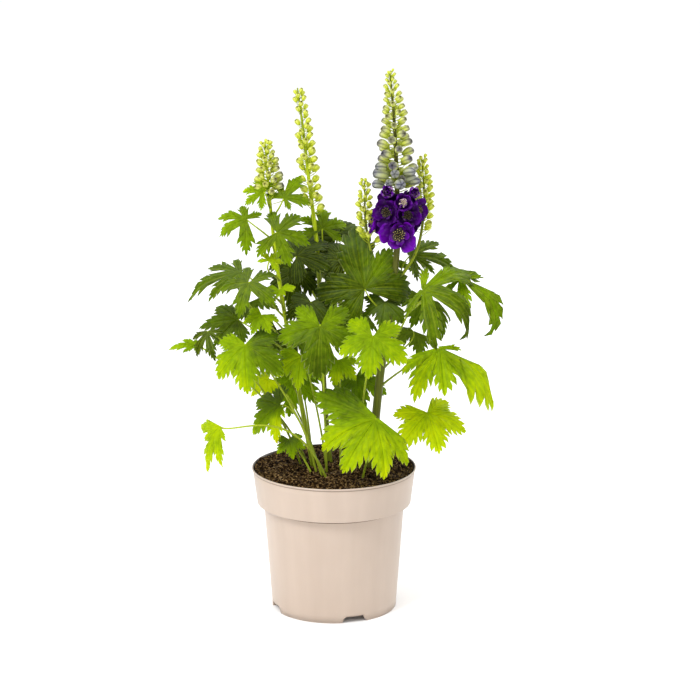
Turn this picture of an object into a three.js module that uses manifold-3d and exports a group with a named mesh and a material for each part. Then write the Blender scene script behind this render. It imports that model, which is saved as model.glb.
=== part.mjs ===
// A delphinium in its nursery pot: three flowering stems and a crown of long-stalked leaves, standing in
// potting soil.
//
// Millimetres, +Z up, front towards -Y. The origin is on the pot's axis, at the level of its foot. Every
// stem and leaf stalk stands in a hole of its own in the soil. Leaves, buds and side shoots are one body
// with the stem that bears them; each open floret is a body of its own, seated on the end of its stalk.
import * as THREE from "three";
import { mergeVertices } from "three/addons/utils/BufferGeometryUtils.js";
import Module from "manifold-3d";

const wasm = await Module();
wasm.setup();
const { Manifold, Mesh } = wasm;

// ---- driving dimensions ----
const POT_TOP_R = 95;
const POT_FOOT_R = 72;
const POT_HEIGHT = 167;
const COLLAR_HEIGHT = 41.5;
const COLLAR_STEP = 7.5;
const COLLAR_FLARE = 5.9; // from the collar's foot to the rim
const WALL = 1.6;
const FOOT_WIDTH = 3;
const BASE_RAISE = 8;
const POT_SEGMENTS = 32;
const SOIL_EDGE_DROP = 5; // soil edge below the rim
const SOIL_MOUND = 6; // soil at the crown above the soil's edge
const CLEARANCE = 0.4; // between touching bodies
const HOLE_DEPTH = 26; // of a stem in the soil
const BLADE = 0.8; // leaf thickness
const GOLDEN_ANGLE = 137.5;
const PLAIN_GREEN = { color: 0x6f9e1e, roughness: 0.6, metalness: 0 };

const rad = (degrees) => (degrees * Math.PI) / 180;
const deg = (radians) => (radians * 180) / Math.PI;
const vec = (x, y, z) => new THREE.Vector3(x, y, z);
const mix = (a, b, share) => a + (b - a) * share;

// A repeatable draw between -1 and 1 for the pair i, j.
function vary(i, j) {
  const s = Math.sin(i * 12.9898 + j * 78.233) * 43758.5453;
  return 2 * (s - Math.floor(s)) - 1;
}

// ---- solids ----

// A closed solid from points and triangles, turned right side out.
function solid(points, triangles) {
  const triVerts = new Uint32Array(triangles.flat());
  const vertProperties = new Float32Array(points.flatMap((p) => [p.x, p.y, p.z]));
  const made = new Manifold(new Mesh({ numProp: 3, vertProperties, triVerts }));
  if (made.volume() > 0) return made;
  const turned = new Uint32Array(triangles.flatMap(([a, b, c]) => [a, c, b]));
  return new Manifold(new Mesh({ numProp: 3, vertProperties, triVerts: turned }));
}

// A three.js geometry as a solid.
function solidOf(geometry) {
  const bare = geometry.clone();
  bare.deleteAttribute("normal");
  bare.deleteAttribute("uv");
  const merged = mergeVertices(bare, 1e-3);
  const at = merged.getAttribute("position");
  const points = Array.from({ length: at.count }, (_, i) => vec(at.getX(i), at.getY(i), at.getZ(i)));
  const index = Array.from(merged.index.array);
  const triangles = [];
  for (let i = 0; i < index.length; i += 3) {
    const [a, b, c] = index.slice(i, i + 3);
    if (a !== b && b !== c && c !== a) triangles.push([a, b, c]);
  }
  return solid(points, triangles);
}

// A solid of revolution from an [r, z] outline.
function lathe(outline, segments) {
  const points = outline.map(([r, z]) => new THREE.Vector2(r, z));
  return solidOf(new THREE.LatheGeometry(points, segments).rotateX(Math.PI / 2));
}

// The directions square to a path, carried back from its end without twist. `top` is the one wanted at the
// end.
function framesAlong(points, top) {
  const last = points.length - 1;
  const frames = [];
  let held = top;
  for (let i = last; i >= 0; i--) {
    const along = vec().subVectors(points[Math.min(i + 1, last)], points[Math.max(i - 1, 0)]).normalize();
    if (!held) held = Math.abs(along.z) < 0.9 ? vec(0, 0, 1) : vec(1, 0, 0);
    held = held.clone().addScaledVector(along, -held.dot(along)).normalize();
    frames[i] = { top: held, side: vec().crossVectors(held, along) };
  }
  return frames;
}

// The corners of a tube's section; a radius of 0 gives one point.
function section(point, { top, side }, radius, sides) {
  if (radius === 0) return [point.clone()];
  return Array.from({ length: sides }, (_, k) => {
    const turn = (Math.PI * (2 * k - 1)) / sides;
    return point
      .clone()
      .addScaledVector(top, radius * Math.cos(turn))
      .addScaledVector(side, radius * Math.sin(turn));
  });
}

// The skin between sections given as lists of point numbers, and the flat ends asked for.
function skin(rings, closeStart, closeEnd) {
  const triangles = [];
  for (let i = 1; i < rings.length; i++) {
    const [from, to] = [rings[i - 1], rings[i]];
    const sides = Math.max(from.length, to.length);
    for (let k = 0; k < sides; k++) {
      const next = (k + 1) % sides;
      if (to.length === 1) triangles.push([to[0], from[next], from[k]]);
      else if (from.length === 1) triangles.push([to[k], to[next], from[0]]);
      else triangles.push([to[k], to[next], from[next]], [to[k], from[next], from[k]]);
    }
  }
  const [start, end] = [rings[0], rings.at(-1)];
  if (closeStart) for (let k = 2; k < start.length; k++) triangles.push([start[0], start[k - 1], start[k]]);
  if (closeEnd) for (let k = 2; k < end.length; k++) triangles.push([end[0], end[k], end[k - 1]]);
  return triangles;
}

// A closed tube through the points with a radius at each. A radius of 0 at either end closes it in a point.
function sweep(points, radii, sides, frames = framesAlong(points)) {
  const made = [];
  const rings = points.map((point, i) => {
    return section(point, frames[i], radii[i], sides).map((p) => made.push(p) - 1);
  });
  return solid(made, skin(rings, true, true));
}

// ---- palmate blades ----

// The edge of one half lobe from the cut between lobes to the tip: [along the lobe, out from its midrib],
// in lobe lengths.
const EDGE_TOOTHED = [
  [0.62, 0.27],
  [0.6, 0.17],
  [0.84, 0.18],
  [0.79, 0.09],
];
const EDGE_FINGER = [
  [0.52, 0.155],
  [0.52, 0.09],
  [0.78, 0.155],
  [0.7, 0.065],
];
const EDGE_PLAIN = [
  [0.66, 0.27],
  [0.68, 0.13],
];
const EDGE_SIMPLE = [[0.64, 0.24]];
const EDGE_PETAL = [[0.74, 0.36]];
const LOBE_GAP = 49; // between the lobes of the leaf that these edges are drawn for
const WIDEST = 1.2;
const HEART = 0.55; // where a lobe's faces fan out from, on its midrib
const NECK_BACK = 0.05; // the blade's edge behind the hub, where its stalk joins
const NECK_HALF_WIDTH = 1.1;

// The axes of a blade: n is the way its face looks, u runs along the middle lobe and v completes them.
// `face` is a compass angle (0 is +X, -90 the front), `lift` its angle above the horizon, and `spin` the
// clock angle of the middle lobe as seen by someone facing the blade: 0 points up, 90 to the viewer's
// right.
function bladeAxes({ face, lift, spin }) {
  const level = Math.cos(rad(lift));
  const n = vec(level * Math.cos(rad(face)), level * Math.sin(rad(face)), Math.sin(rad(lift)));
  const up = vec(0, 0, 1).addScaledVector(n, -n.z).normalize();
  const right = vec().crossVectors(up, n);
  const u = up.multiplyScalar(Math.cos(rad(spin))).addScaledVector(right, Math.sin(rad(spin)));
  return { n, u, v: vec().crossVectors(n, u) };
}

// The bend of a blade in a direction from its hub, taken in a straight line from one lobe to the next.
function bendToward(lobes, heading) {
  const before = lobes.findLast(({ angle }) => angle <= heading) ?? lobes[0];
  const after = lobes.find(({ angle }) => angle >= heading) ?? lobes.at(-1);
  const gap = after.angle - before.angle;
  return gap > 0 ? mix(before.bend, after.bend, (heading - before.angle) / gap) : before.bend;
}

// A thin palmate blade. Each lobe is a fan of triangles round a point on its midrib. Flat distances from
// the hub are laid along arcs that bend the blade down (bend > 0) or into a cup (bend < 0) by that many
// radians at its reach, and the lobes are folded up from their midribs. A ring of lobes is closed, with a
// `boss` behind its hub; an open blade has a neck of four corners for its stalk.
function blade({ hub, axes, reach, fold, lobes, edge, cut, ring, thick, boss = 0 }) {
  const flat = [{ x: 0, y: 0, lobe: 0 }];
  const add = (x, y, lobe) => flat.push({ x, y, lobe }) - 1;
  const between = (a, b) => {
    const middle = rad((a.angle + b.angle) / 2);
    const r = cut * reach * Math.min(a.length, b.length);
    return add(r * Math.cos(middle), r * Math.sin(middle), a.angle);
  };
  const end = lobes.at(-1);
  const neck = (side) => add(-NECK_BACK * reach, side * NECK_HALF_WIDTH, side * end.angle);
  const necks = [-1, 1].map((side) => ring || neck(side));
  const first = ring ? between({ ...end, angle: end.angle - 360 }, lobes[0]) : necks[0];
  const outline = [first];
  const tops = ring ? [] : [[0, necks[1], necks[0]]];
  let before = first;
  lobes.forEach((lobe, i) => {
    const long = lobe.length * reach;
    const [c, s] = [Math.cos(rad(lobe.angle)), Math.sin(rad(lobe.angle))];
    const at = ([along, out]) =>
      add(long * (along * c - out * s), long * (along * s + out * c), lobe.angle);
    const heart = at([HEART, 0]);
    const near = edge.map(([along, out]) => at([along, -out * lobe.near]));
    const tip = at([1, 0]);
    const far = edge.map(([along, out]) => at([along, out * lobe.far])).reverse();
    const closing = ring ? first : necks[1];
    const after = i < lobes.length - 1 ? between(lobe, lobes[i + 1]) : closing;
    const round = [before, ...near, tip, ...far, after];
    tops.push([0, before, heart], [0, heart, after]);
    for (let k = 1; k < round.length; k++) tops.push([heart, round[k - 1], round[k]]);
    outline.push(...round.slice(1));
    before = after;
  });
  const place = ({ x, y, lobe }, offset) => {
    const r = Math.hypot(x, y);
    const curve = bendToward(lobes, deg(Math.atan2(y, x))) / reach;
    const out = axes.u.clone().multiplyScalar(r ? x / r : 1).addScaledVector(axes.v, r ? y / r : 0);
    const turn = curve * r;
    const folded = fold * r * Math.abs(Math.sin(Math.atan2(y, x) - rad(lobe)));
    return hub
      .clone()
      .addScaledVector(out, Math.sin(turn) / curve + offset * Math.sin(turn))
      .addScaledVector(axes.n, folded - (1 - Math.cos(turn)) / curve + offset * Math.cos(turn));
  };
  const count = flat.length;
  const points = [...flat.map((p) => place(p, thick / 2)), ...flat.map((p) => place(p, -thick / 2))];
  points[count].addScaledVector(axes.n, -boss);
  const triangles = [...tops, ...tops.map(([a, b, c]) => [a + count, c + count, b + count])];
  for (let k = 1; k < outline.length; k++) {
    const [a, b] = [outline[k - 1], outline[k]];
    triangles.push([a, a + count, b + count], [a, b + count, b]);
  }
  const joint = [necks[0], necks[1], necks[1] + count, necks[0] + count];
  return { points, triangles, joint };
}

// ---- leaves ----

// The lobes of a leaf, from one side of its stalk to the other. `lobes` gives the angle, length and bend of
// each, or, for an even leaf, only how far the outermost are turned from the middle one. The edges of a lobe
// are as wide on each side as the angle to its neighbour allows.
function leafLobes(lobes, bend, seed) {
  if (!Array.isArray(lobes))
    return [-1, -0.5, 0, 0.5, 1].map((share, i) => ({
      angle: share * lobes + 3 * vary(seed, i),
      length: [0.8, 0.94, 1, 0.94, 0.8][i] * (1 + 0.07 * vary(seed, i + 7)),
      bend,
      near: lobes / (2 * LOBE_GAP),
      far: lobes / (2 * LOBE_GAP),
    }));
  const gaps = lobes.slice(1).map(([angle], i) => Math.min((angle - lobes[i][0]) / LOBE_GAP, WIDEST));
  return lobes.map(([angle, length, own], i) => ({
    angle,
    length,
    bend: own,
    near: gaps[Math.max(i - 1, 0)],
    far: gaps[Math.min(i, gaps.length - 1)],
  }));
}

const LEAF_KINDS = {
  broad: { cut: 0.42, fold: 0.1, edge: EDGE_TOOTHED },
  plain: { cut: 0.42, fold: 0.1, edge: EDGE_PLAIN },
  simple: { cut: 0.4, fold: 0.1, edge: EDGE_SIMPLE },
  split: { cut: 0.28, fold: 0.16, edge: EDGE_PLAIN },
  fingered: { cut: 0.2, fold: 0.16, edge: EDGE_FINGER },
  swept: { cut: 0.22, fold: 0.14, edge: EDGE_TOOTHED },
};

const STALK_SIDES = 4;
const CROWN_STALK_R = 1.6;
const STEM_STALK_R = 1.4;
const STEM_LEAF_RISE = 0.42;
const CROWN_STALK_STEPS = 5;
const STEM_STALK_STEPS = 3;

// A leaf and its stalk as one skin. The stalk leaves `base` along `leave`, which it keeps for longer the
// greater its rise, and runs into the neck of the blade from below. Its points, radii and frames are given
// back for the hole that it stands in.
function leafOnStalk(leaf, base, leave, rise, seed, thickness, steps) {
  const axes = bladeAxes(leaf);
  const kind = LEAF_KINDS[leaf.kind];
  const { points, triangles, joint: neck } = blade({
    ...leaf,
    ...kind,
    axes,
    lobes: leafLobes(leaf.lobes, leaf.bend, seed),
    ring: false,
    thick: BLADE,
  });
  const joint = vec();
  neck.forEach((i) => joint.addScaledVector(points[i], 1 / neck.length));
  const far = base.distanceTo(joint);
  const arrive = Math.min(0.35 * far, 26);
  const p1 = base.clone().addScaledVector(leave, rise * far);
  const p2 = joint.clone().addScaledVector(axes.u, -0.75 * arrive).addScaledVector(axes.n, -0.6 * arrive);
  const path = new THREE.CubicBezierCurve3(base, p1, p2, joint).getPoints(steps);
  const radii = path.map((_, i) => mix(thickness, 0.6 * thickness, i / steps));
  const frames = framesAlong(path, axes.n);
  const rings = path
    .slice(0, -1)
    .map((point, i) => section(point, frames[i], radii[i], STALK_SIDES).map((p) => points.push(p) - 1));
  const made = solid(points, [...triangles, ...skin([...rings, neck], true, false)]);
  return { path, radii, frames, made };
}

// Leaves that rise from the crown. Each row: node name, hub x, y, z, face, lift, spin, reach, bend, lobes,
// kind, the x, y of the stalk's foot in the soil, and its rise.
const CROWN_LEAVES = [
  [
    "leaf_front_low", 47, -64, 240, -75, 49, 226, 76, 0.95,
    [[-84, 1.05, 0.35], [-34, 1.02, 1.25], [4, 1, 0.95], [50, 0.97, 0.95], [84, 0.9, 1.2]],
    "broad", 30, -38, 0.42,
  ],
  ["leaf_right_low", 107, -15, 234, -80, 55, 168, 54, 0.65, 116, "broad", 52, -13, 0.42],
  ["leaf_front_middle", 44, -84, 341, -92, 44, 185, 50, 0.7, 128, "broad", 24, -8, 0.42],
  [
    "leaf_far_left", -157, 14, 308, -89, 66, 274, 33, 0.4,
    [[-70, 0.35, 0.4], [-32, 0.7, 0.4], [0, 1.07, 0.4], [36, 0.62, 0.6], [80, 0.35, 0.5]],
    "plain", -25, 20, 0.42,
  ],
  [
    "leaf_left_hanging", -143, -20, 331, -114, 45, 163, 39, 1.2,
    [[-88, 0.6, 1.2], [-40, 0.85, 1.2], [8, 0.95, 1.2], [46, 0.5, 1.2], [88, 0.5, 1.2]],
    "split", -32, 6, 0.42,
  ],
  [
    "leaf_left_bright", -99, -58, 325, -100, 43, 172, 54, 0.9,
    [[-112, 0.68, 0.9], [-52, 1, 0.9], [-2, 1.08, 0.9], [56, 1.08, 0.9], [114, 0.8, 0.7]],
    "broad", -8, -37, 0.42,
  ],
  [
    "leaf_centre_large", -15, -63, 348, -88, 34, 184, 56, 0.8,
    [[-130, 0.68, 0.5], [-76, 0.98, 0.7], [0, 1.15, 0.8], [66, 0.92, 0.8], [130, 0.75, 0.5]],
    "broad", -8, -24, 0.42,
  ],
  ["leaf_centre_under", -37, -24, 304, -93, 47, 185, 42, 0.9, 105, "plain", -6, -15, 0.42],
  ["leaf_centre_small", 5, -10, 295, -88, 48, 190, 34, 0.9, 112, "plain", 8, -17, 0.42],
  [
    "leaf_left_folded", -62, -25, 246, -115, 44, 218, 52, 0.85,
    [[-125, 0.62, 0.5], [-66, 0.85, 0.9], [-8, 1, 0.9], [44, 0.88, 0.9], [76, 0.35, 0.9]],
    "plain", -16, -25, 0.42,
  ],
  ["leaf_left_yellow", -76, 36, 261, -101, 54, 228, 29, 0.9, 100, "simple", -13, 1, 0.42],
  [
    "leaf_left_trailing", -128, -58, 229, -140, 32, 262, 50, 0.65,
    [[-2, 1.05, 0.5], [28, 0.7, 0.7], [66, 1.18, 0.7], [100, 0.95, 0.7], [132, 0.4, 0.7]],
    "plain", 0, -46, 0.84,
  ],
  ["leaf_soil_small", -51, -26, 206, -93, 49, 168, 24, 0.9, 112, "simple", -17, -34, 0.42],
  ["leaf_back_right", 26, 62, 258, -85, 42, 172, 46, 0.9, 120, "simple", 18, 36, 0.42],
  ["leaf_back_left", -44, 62, 256, -95, 44, 192, 46, 0.9, 120, "simple", -24, 34, 0.42],
];

// ---- stems ----

// A flowering stem: the points of its axis from the soil up, the radius at its foot and at its tip, and its
// leaves, each row being the height at which it leaves the stem and then the leaf as above.
const RIGHT_STEM = {
  axis: [
    [40, -5, 134],
    [46, -6, 203],
    [53, -5, 275],
    [65, -4, 361],
    [72, -2, 427],
    [71, 0, 509],
    [68, 0, 570],
    [63, 0, 626],
  ],
  radii: [5.2, 5, 4.8, 4.2, 3.6, 2.8, 1.8, 0.9],
  leaves: [
    [
      262, 121, -22, 312, -105, 64, 118, 84, 1.6,
      [[-118, 0.65, 1.1], [-82, 0.88, 1.1], [-47, 0.75, 1.1], [10, 1.32, 1.3], [44, 0.3, 1.5]],
      "swept",
    ],
    [
      343, 35, -22, 382, -96, 26, 335, 68, 0.7,
      [[-106, 1.15, 1.3], [-60, 0.75, 0.5], [-12, 1.36, 0.5], [66, 1, 0.8], [122, 0.75, 1]],
      "broad",
    ],
    [
      305, 101, -40, 384, -110, 58, 112, 76, 1.3,
      [[-88, 0.5, 1], [-44, 1, 1.1], [22, 1.4, 1.7], [86, 1.4, 0.65], [126, 0.56, 0.4]],
      "fingered",
    ],
    [
      335, 144, 8, 386, -118, 70, 112, 86, 2.1,
      [[-85, 0.35, 1.5], [-36, 0.6, 1.4], [15, 1.25, 2.05], [62, 0.34, 1.2], [98, 0.3, 1]],
      "fingered",
    ],
    [
      368, 88, 26, 410, -90, 62, 70, 62, 0.8,
      [[-98, 0.6, 0.9], [-58, 0.6, 0.9], [-15, 1.12, 0.9], [28, 0.85, 0.5], [75, 0.5, 0.6]],
      "split",
    ],
    [280, 91, 30, 320, 60, 56, 120, 46, 0.9, 110, "simple"],
    [322, 58, -12, 364, -88, 46, 190, 36, 0.9, 110, "plain"],
    [378, 58, 62, 396, 100, 56, 150, 48, 0.9, 110, "simple"],
    [317, 106, 74, 349, 50, 51, 140, 60, 1, 110, "simple"],
  ],
};
const MIDDLE_STEM = {
  axis: [
    [-2, 14, 133],
    [-10, 20, 232],
    [-15, 28, 342],
    [-20, 34, 426],
    [-28, 35, 493],
    [-36, 35, 564],
    [-41, 35, 602],
  ],
  radii: [3.2, 3, 2.8, 2.5, 2.1, 1.5, 0.8],
  leaves: [
    [378, 2, 62, 424, -85, 50, 340, 56, 0.9, 112, "split"],
    [350, -42, 58, 384, -100, 50, 190, 48, 0.9, 112, "plain"],
    [335, 10, 14, 407, -80, 48, 20, 46, 0.8, 110, "split"],
    [289, 8, 84, 335, 80, 54, 190, 58, 1, 118, "simple"],
    [254, -42, 84, 300, 120, 54, 170, 54, 1, 118, "simple"],
    [394, -42, 10, 413, -110, 50, 30, 46, 0.8, 110, "split"],
    [318, -26, -6, 362, -92, 46, 190, 40, 0.9, 112, "simple"],
    [402, -13, 35, 440, -80, 42, 10, 40, 0.8, 112, "simple"],
  ],
};
const LEFT_STEM = {
  axis: [
    [-18, -2, 134],
    [-36, -2, 233],
    [-54, 0, 335],
    [-66, 0, 417],
    [-72, 0, 478],
    [-77, 0, 544],
  ],
  radii: [3, 2.8, 2.5, 2.2, 1.9, 0.9],
  leaves: [
    [
      432, -99, 2, 457, -89, 49, 292, 37, 0.8,
      [[-125, 0.6, 0.6], [-55, 0.7, 0.6], [0, 1.12, 0.7], [38, 1.15, 0.9], [112, 1.2, 0.9]],
      "split",
    ],
    [470, -79, -12, 491, -86, 41, 291, 28, 0.8, 100, "simple"],
    [
      458, -56, -12, 484, -94, 38, 29, 34, 0.75,
      [[-120, 0.5, 0.7], [-62, 1, 0.75], [4, 1.3, 0.5], [48, 0.75, 0.6], [100, 0.7, 0.6]],
      "split",
    ],
    [409, -63, -30, 448, -95, 39, 100, 45, 0.7, 118, "split"],
    [358, -95, -46, 394, -102, 48, 194, 44, 0.9, 145, "split"],
    [
      343, -107, 4, 395, -115, 66, 240, 73, 0.75,
      [[-86, 0.5, 0.5], [-48, 0.78, 0.55], [-12, 1.1, 0.75], [30, 0.7, 0.8], [80, 0.4, 0.8]],
      "split",
    ],
    [296, -111, 24, 335, -88, 60, 272, 48, 0.6, 105, "plain"],
    [323, -81, -44, 356, -95, 51, 205, 28, 0.8, 105, "simple"],
    [
      351, -61, -42, 385, -83, 48, 185, 20, 0.7,
      [[-110, 0.8, 0.6], [-60, 1, 0.7], [-15, 0.55, 0.7], [50, 0.5, 0.7], [115, 1.1, 0.4]],
      "simple",
    ],
    [386, -72, -36, 417, -90, 51, 30, 20, 0.6, 110, "simple"],
    [305, -100, 56, 347, 140, 56, 220, 50, 0.9, 110, "simple"],
    [248, -66, 40, 318, -95, 45, 195, 42, 0.9, 112, "simple"],
  ],
};

const STEM_SIDES = 6;
const STEM_STEPS = 10;

function stemCurve(axis) {
  return new THREE.CatmullRomCurve3(axis.map(([x, y, z]) => vec(x, y, z)));
}

// Where a stem's axis passes a height, and its direction there.
function stemAt(curve, height) {
  let [low, high] = [0, 1];
  for (let k = 0; k < 24; k++) {
    const middle = (low + high) / 2;
    if (curve.getPoint(middle).z < height) low = middle;
    else high = middle;
  }
  return { at: curve.getPoint(low), along: curve.getTangent(low), share: low };
}

function radiusAt(radii, share) {
  const place = share * (radii.length - 1);
  const i = Math.min(Math.floor(place), radii.length - 2);
  return mix(radii[i], radii[i + 1], place - i);
}

function stemTube(curve, radii, steps) {
  const points = curve.getPoints(steps);
  return sweep(points, points.map((_, i) => radiusAt(radii, i / steps)), STEM_SIDES);
}

// ---- buds ----

// One bud, from the axis of a spike outwards: a thin stalk that rises and turns out, then a blunt pod. A
// large one has five sides and a shoulder.
function bud({ from, azimuth, stalk, long, wide, large }) {
  const out = vec(Math.cos(rad(azimuth)), Math.sin(rad(azimuth)), 0);
  const at = (reach, rise) => from.clone().addScaledVector(out, reach).add(vec(0, 0, rise));
  const pod = (share, sag) => at(stalk + share * long, 0.5 * stalk + (0.3 * share - sag) * long);
  const start = at(-1, -0.5);
  if (!large) return sweep([start, pod(0, 0), pod(0.68, 0), pod(1, 0.06)], [0, 0.9, 0.5 * wide, 0], 4);
  const points = [start, pod(0, 0), pod(0.38, 0), pod(0.82, 0), pod(1, 0.06)];
  return sweep(points, [0, 1, 0.5 * wide, 0.4 * wide, 0], 5);
}

// Buds up a spike by the golden angle, between two heights of the stem, each smaller than the last and
// closer to it.
function budsUp(curve, { low, high, count, stalk, long, wide, top, turn, large = 0 }) {
  return Array.from({ length: count }, (_, i) => {
    const share = i / (count - 1);
    const size = mix(1, top, share ** 1.3);
    return bud({
      from: stemAt(curve, mix(low, high, share ** 0.8)).at,
      azimuth: turn + i * GOLDEN_ANGLE,
      stalk: stalk * size,
      long: long * size,
      wide: wide * size,
      large: i < large,
    });
  });
}

const RIGHT_BUDS = {
  low: 495,
  high: 623,
  count: 37,
  stalk: 9,
  long: 19,
  wide: 15,
  top: 0.26,
  turn: 20,
  large: 8,
};
const MIDDLE_BUDS = { low: 443, high: 603, count: 28, stalk: 5, long: 13, wide: 12, top: 0.55, turn: 60 };
const LEFT_BUDS = { low: 478, high: 541, count: 20, stalk: 6.5, long: 13.5, wide: 12, top: 0.5, turn: 10 };

// Side shoots of the right stem: the points of the axis, then its buds.
const SIDE_SHOOTS = [
  {
    axis: [
      [66, -4, 372],
      [48, 4, 404],
      [37, 6, 447],
      [35, 6, 500],
    ],
    buds: { low: 431, high: 498, count: 10, stalk: 4, long: 11, wide: 10.5, top: 0.55, turn: 0 },
  },
  {
    axis: [
      [69, -3, 382],
      [90, 12, 409],
      [102, 20, 455],
      [100, 22, 526],
    ],
    buds: { low: 439, high: 524, count: 12, stalk: 4, long: 11, wide: 10.5, top: 0.55, turn: 40 },
  },
];
const SHOOT_RADII = [2.2, 2, 1.6, 0.7];
const SHOOT_STEPS = 4;

// ---- florets ----

// Open florets. Each row: the node that it is fused into, the name of its eye (none on a floret still half
// shut), centre x, y, z, face, lift, reach of the petals, bend into a cup, and the height at which the
// stalk leaves the stem.
const FLORETS = [
  ["florets_front", "eye_front", 73, -32, 447, -88, 4, 25, -0.7, 431],
  ["florets_front", "eye_left", 61, -24, 470, -112, 11, 20, -1.0, 453],
  ["florets_front", "eye_front_right", 81, -28, 468, -72, 8, 19, -1.1, 455],
  ["florets_front", "eye_front_upper", 78, -34, 482, -88, 20, 15, -1.4, 468],
  ["floret_right", "eye_right", 92, -10, 470, -30, 11, 17, -1.1, 456],
  ["floret_left_upper", "", 62, -21, 491, -105, 22, 14, -1.9, 480],
  ["floret_right_upper", "", 88, -17, 490, -60, 21, 12, -1.9, 478],
  ["floret_left_low", "", 50, -3, 455, 190, 11, 17, -0.9, 443],
  ["floret_back", "", 63, 26, 445, 100, 11, 22, -0.8, 437],
  ["floret_back_upper", "", 74, 25, 471, 75, 14, 15, -1.2, 463],
];
const FLORET_STALK_R = 1.1;
const PETAL = 0.8;
const FLORET_DEPTH = 3.5; // from its stalk to its hub

const parts = new THREE.Group();

function addNode(name, made, look) {
  const mesh = made.getMesh();
  const geometry = new THREE.BufferGeometry();
  geometry.setAttribute("position", new THREE.BufferAttribute(new Float32Array(mesh.vertProperties), 3));
  geometry.setIndex(new THREE.BufferAttribute(new Uint32Array(mesh.triVerts), 1));
  geometry.computeVertexNormals();
  const node = new THREE.Mesh(geometry, new THREE.MeshStandardMaterial(look));
  node.name = name;
  parts.add(node);
  return made;
}

// ---- pot ----

// The pot's wall as [r, z] outlines: a tapered body, a step out to the collar and a rim that flares a little.
const COLLAR_Z = POT_HEIGHT - COLLAR_HEIGHT;
const BODY_TOP_R = POT_TOP_R - COLLAR_STEP - COLLAR_FLARE;
const COLLAR_FOOT_R = BODY_TOP_R + COLLAR_STEP;
const RIM_HEIGHT = 3;
const POT_OUTSIDE = [
  [POT_FOOT_R, 0],
  [BODY_TOP_R, COLLAR_Z],
  [COLLAR_FOOT_R, COLLAR_Z],
  [COLLAR_FOOT_R + 1, COLLAR_Z + 2],
  [POT_TOP_R - 1.2, POT_HEIGHT - RIM_HEIGHT],
  [POT_TOP_R, POT_HEIGHT - RIM_HEIGHT + 1],
  [POT_TOP_R, POT_HEIGHT],
];
const POT_INSIDE = [
  [POT_TOP_R - WALL - 0.8, POT_HEIGHT],
  [COLLAR_FOOT_R + 1 - WALL, COLLAR_Z + 3],
  [BODY_TOP_R - WALL, COLLAR_Z + 1],
  [POT_FOOT_R + 1 - WALL, BASE_RAISE + WALL],
];

const NOTCHES = 4;
const NOTCH_TURN = -70.6; // of the first notch from +X, so that one faces just right of the front
const NOTCH_WIDTH = 28;
const NOTCH_HEIGHT = 7.5;
const DRAIN_R = 3;
const DRAIN_AT = 61;

function pot() {
  const foot = [
    [0, BASE_RAISE + WALL],
    [0, BASE_RAISE],
    [POT_FOOT_R - FOOT_WIDTH - 2, BASE_RAISE],
    [POT_FOOT_R - FOOT_WIDTH, 0],
  ];
  let made = lathe([...foot, ...POT_OUTSIDE, ...POT_INSIDE, foot[0]], POT_SEGMENTS);
  for (let i = 0; i < NOTCHES; i++) {
    const turn = rad(NOTCH_TURN + (360 / NOTCHES) * i);
    const outline = new THREE.Shape([
      new THREE.Vector2(-NOTCH_WIDTH / 2, -1),
      new THREE.Vector2(NOTCH_WIDTH / 2, -1),
      new THREE.Vector2(NOTCH_WIDTH / 2 - 3, NOTCH_HEIGHT),
      new THREE.Vector2(-NOTCH_WIDTH / 2 + 3, NOTCH_HEIGHT),
    ]);
    const notch = new THREE.ExtrudeGeometry(outline, { depth: 30, bevelEnabled: false });
    notch.rotateX(Math.PI / 2).rotateZ(Math.PI / 2).translate(POT_FOOT_R - 18, 0, 0).rotateZ(turn);
    made = made.subtract(solidOf(notch));
    const drain = new THREE.CylinderGeometry(DRAIN_R, DRAIN_R, 12, 8).rotateX(Math.PI / 2);
    drain.translate(DRAIN_AT, 0, BASE_RAISE).rotateZ(turn + rad(180 / NOTCHES));
    made = made.subtract(solidOf(drain));
  }
  return made;
}

// ---- soil ----

const SOIL_EDGE_Z = POT_HEIGHT - SOIL_EDGE_DROP;
const SOIL_SEGMENTS = 20;
const SOIL_RINGS = 3;

// The soil's top: a low mound round the crown, with hollows and lumps.
function soilTop(x, y) {
  const r = Math.hypot(x, y) / POT_TOP_R;
  const hollows = 1.4 * Math.sin(0.11 * x + 0.6) * Math.cos(0.13 * y - 0.4);
  const lumps = 0.8 * Math.sin(0.27 * x - 0.21 * y);
  return SOIL_EDGE_Z + SOIL_MOUND * (1 - r * r) + hollows + lumps;
}

// The inner wall of the pot at a height, less the clearance.
function soilRadius(z) {
  const wall = [...POT_INSIDE].reverse();
  const i = Math.max(1, wall.findIndex(([, height]) => height >= z));
  const [[r0, z0], [r1, z1]] = [wall[i - 1], wall[i]];
  return mix(r0, r1, (z - z0) / (z1 - z0)) - CLEARANCE;
}

function soil(holes) {
  const floor = BASE_RAISE + WALL + CLEARANCE;
  const [, collar, body] = POT_INSIDE;
  const side = [
    [0, floor],
    [soilRadius(floor), floor],
    [body[0] - CLEARANCE, body[1] + CLEARANCE],
    [collar[0] - CLEARANCE, collar[1] + CLEARANCE],
    [soilRadius(SOIL_EDGE_Z) - 0.5, SOIL_EDGE_Z],
  ];
  const edge = side.at(-1)[0];
  const top = [];
  for (let i = SOIL_RINGS - 1; i >= 0; i--) top.push([(edge * i) / SOIL_RINGS, SOIL_EDGE_Z + 1]);
  const outline = [...side, ...top].map(([r, z]) => new THREE.Vector2(r, z));
  const geometry = new THREE.LatheGeometry(outline, SOIL_SEGMENTS).rotateX(Math.PI / 2);
  const at = geometry.getAttribute("position");
  for (let i = 0; i < at.count; i++)
    if (at.getZ(i) > SOIL_EDGE_Z - 1) at.setZ(i, soilTop(at.getX(i), at.getY(i)));
  return solidOf(geometry).subtract(Manifold.union(holes));
}

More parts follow.
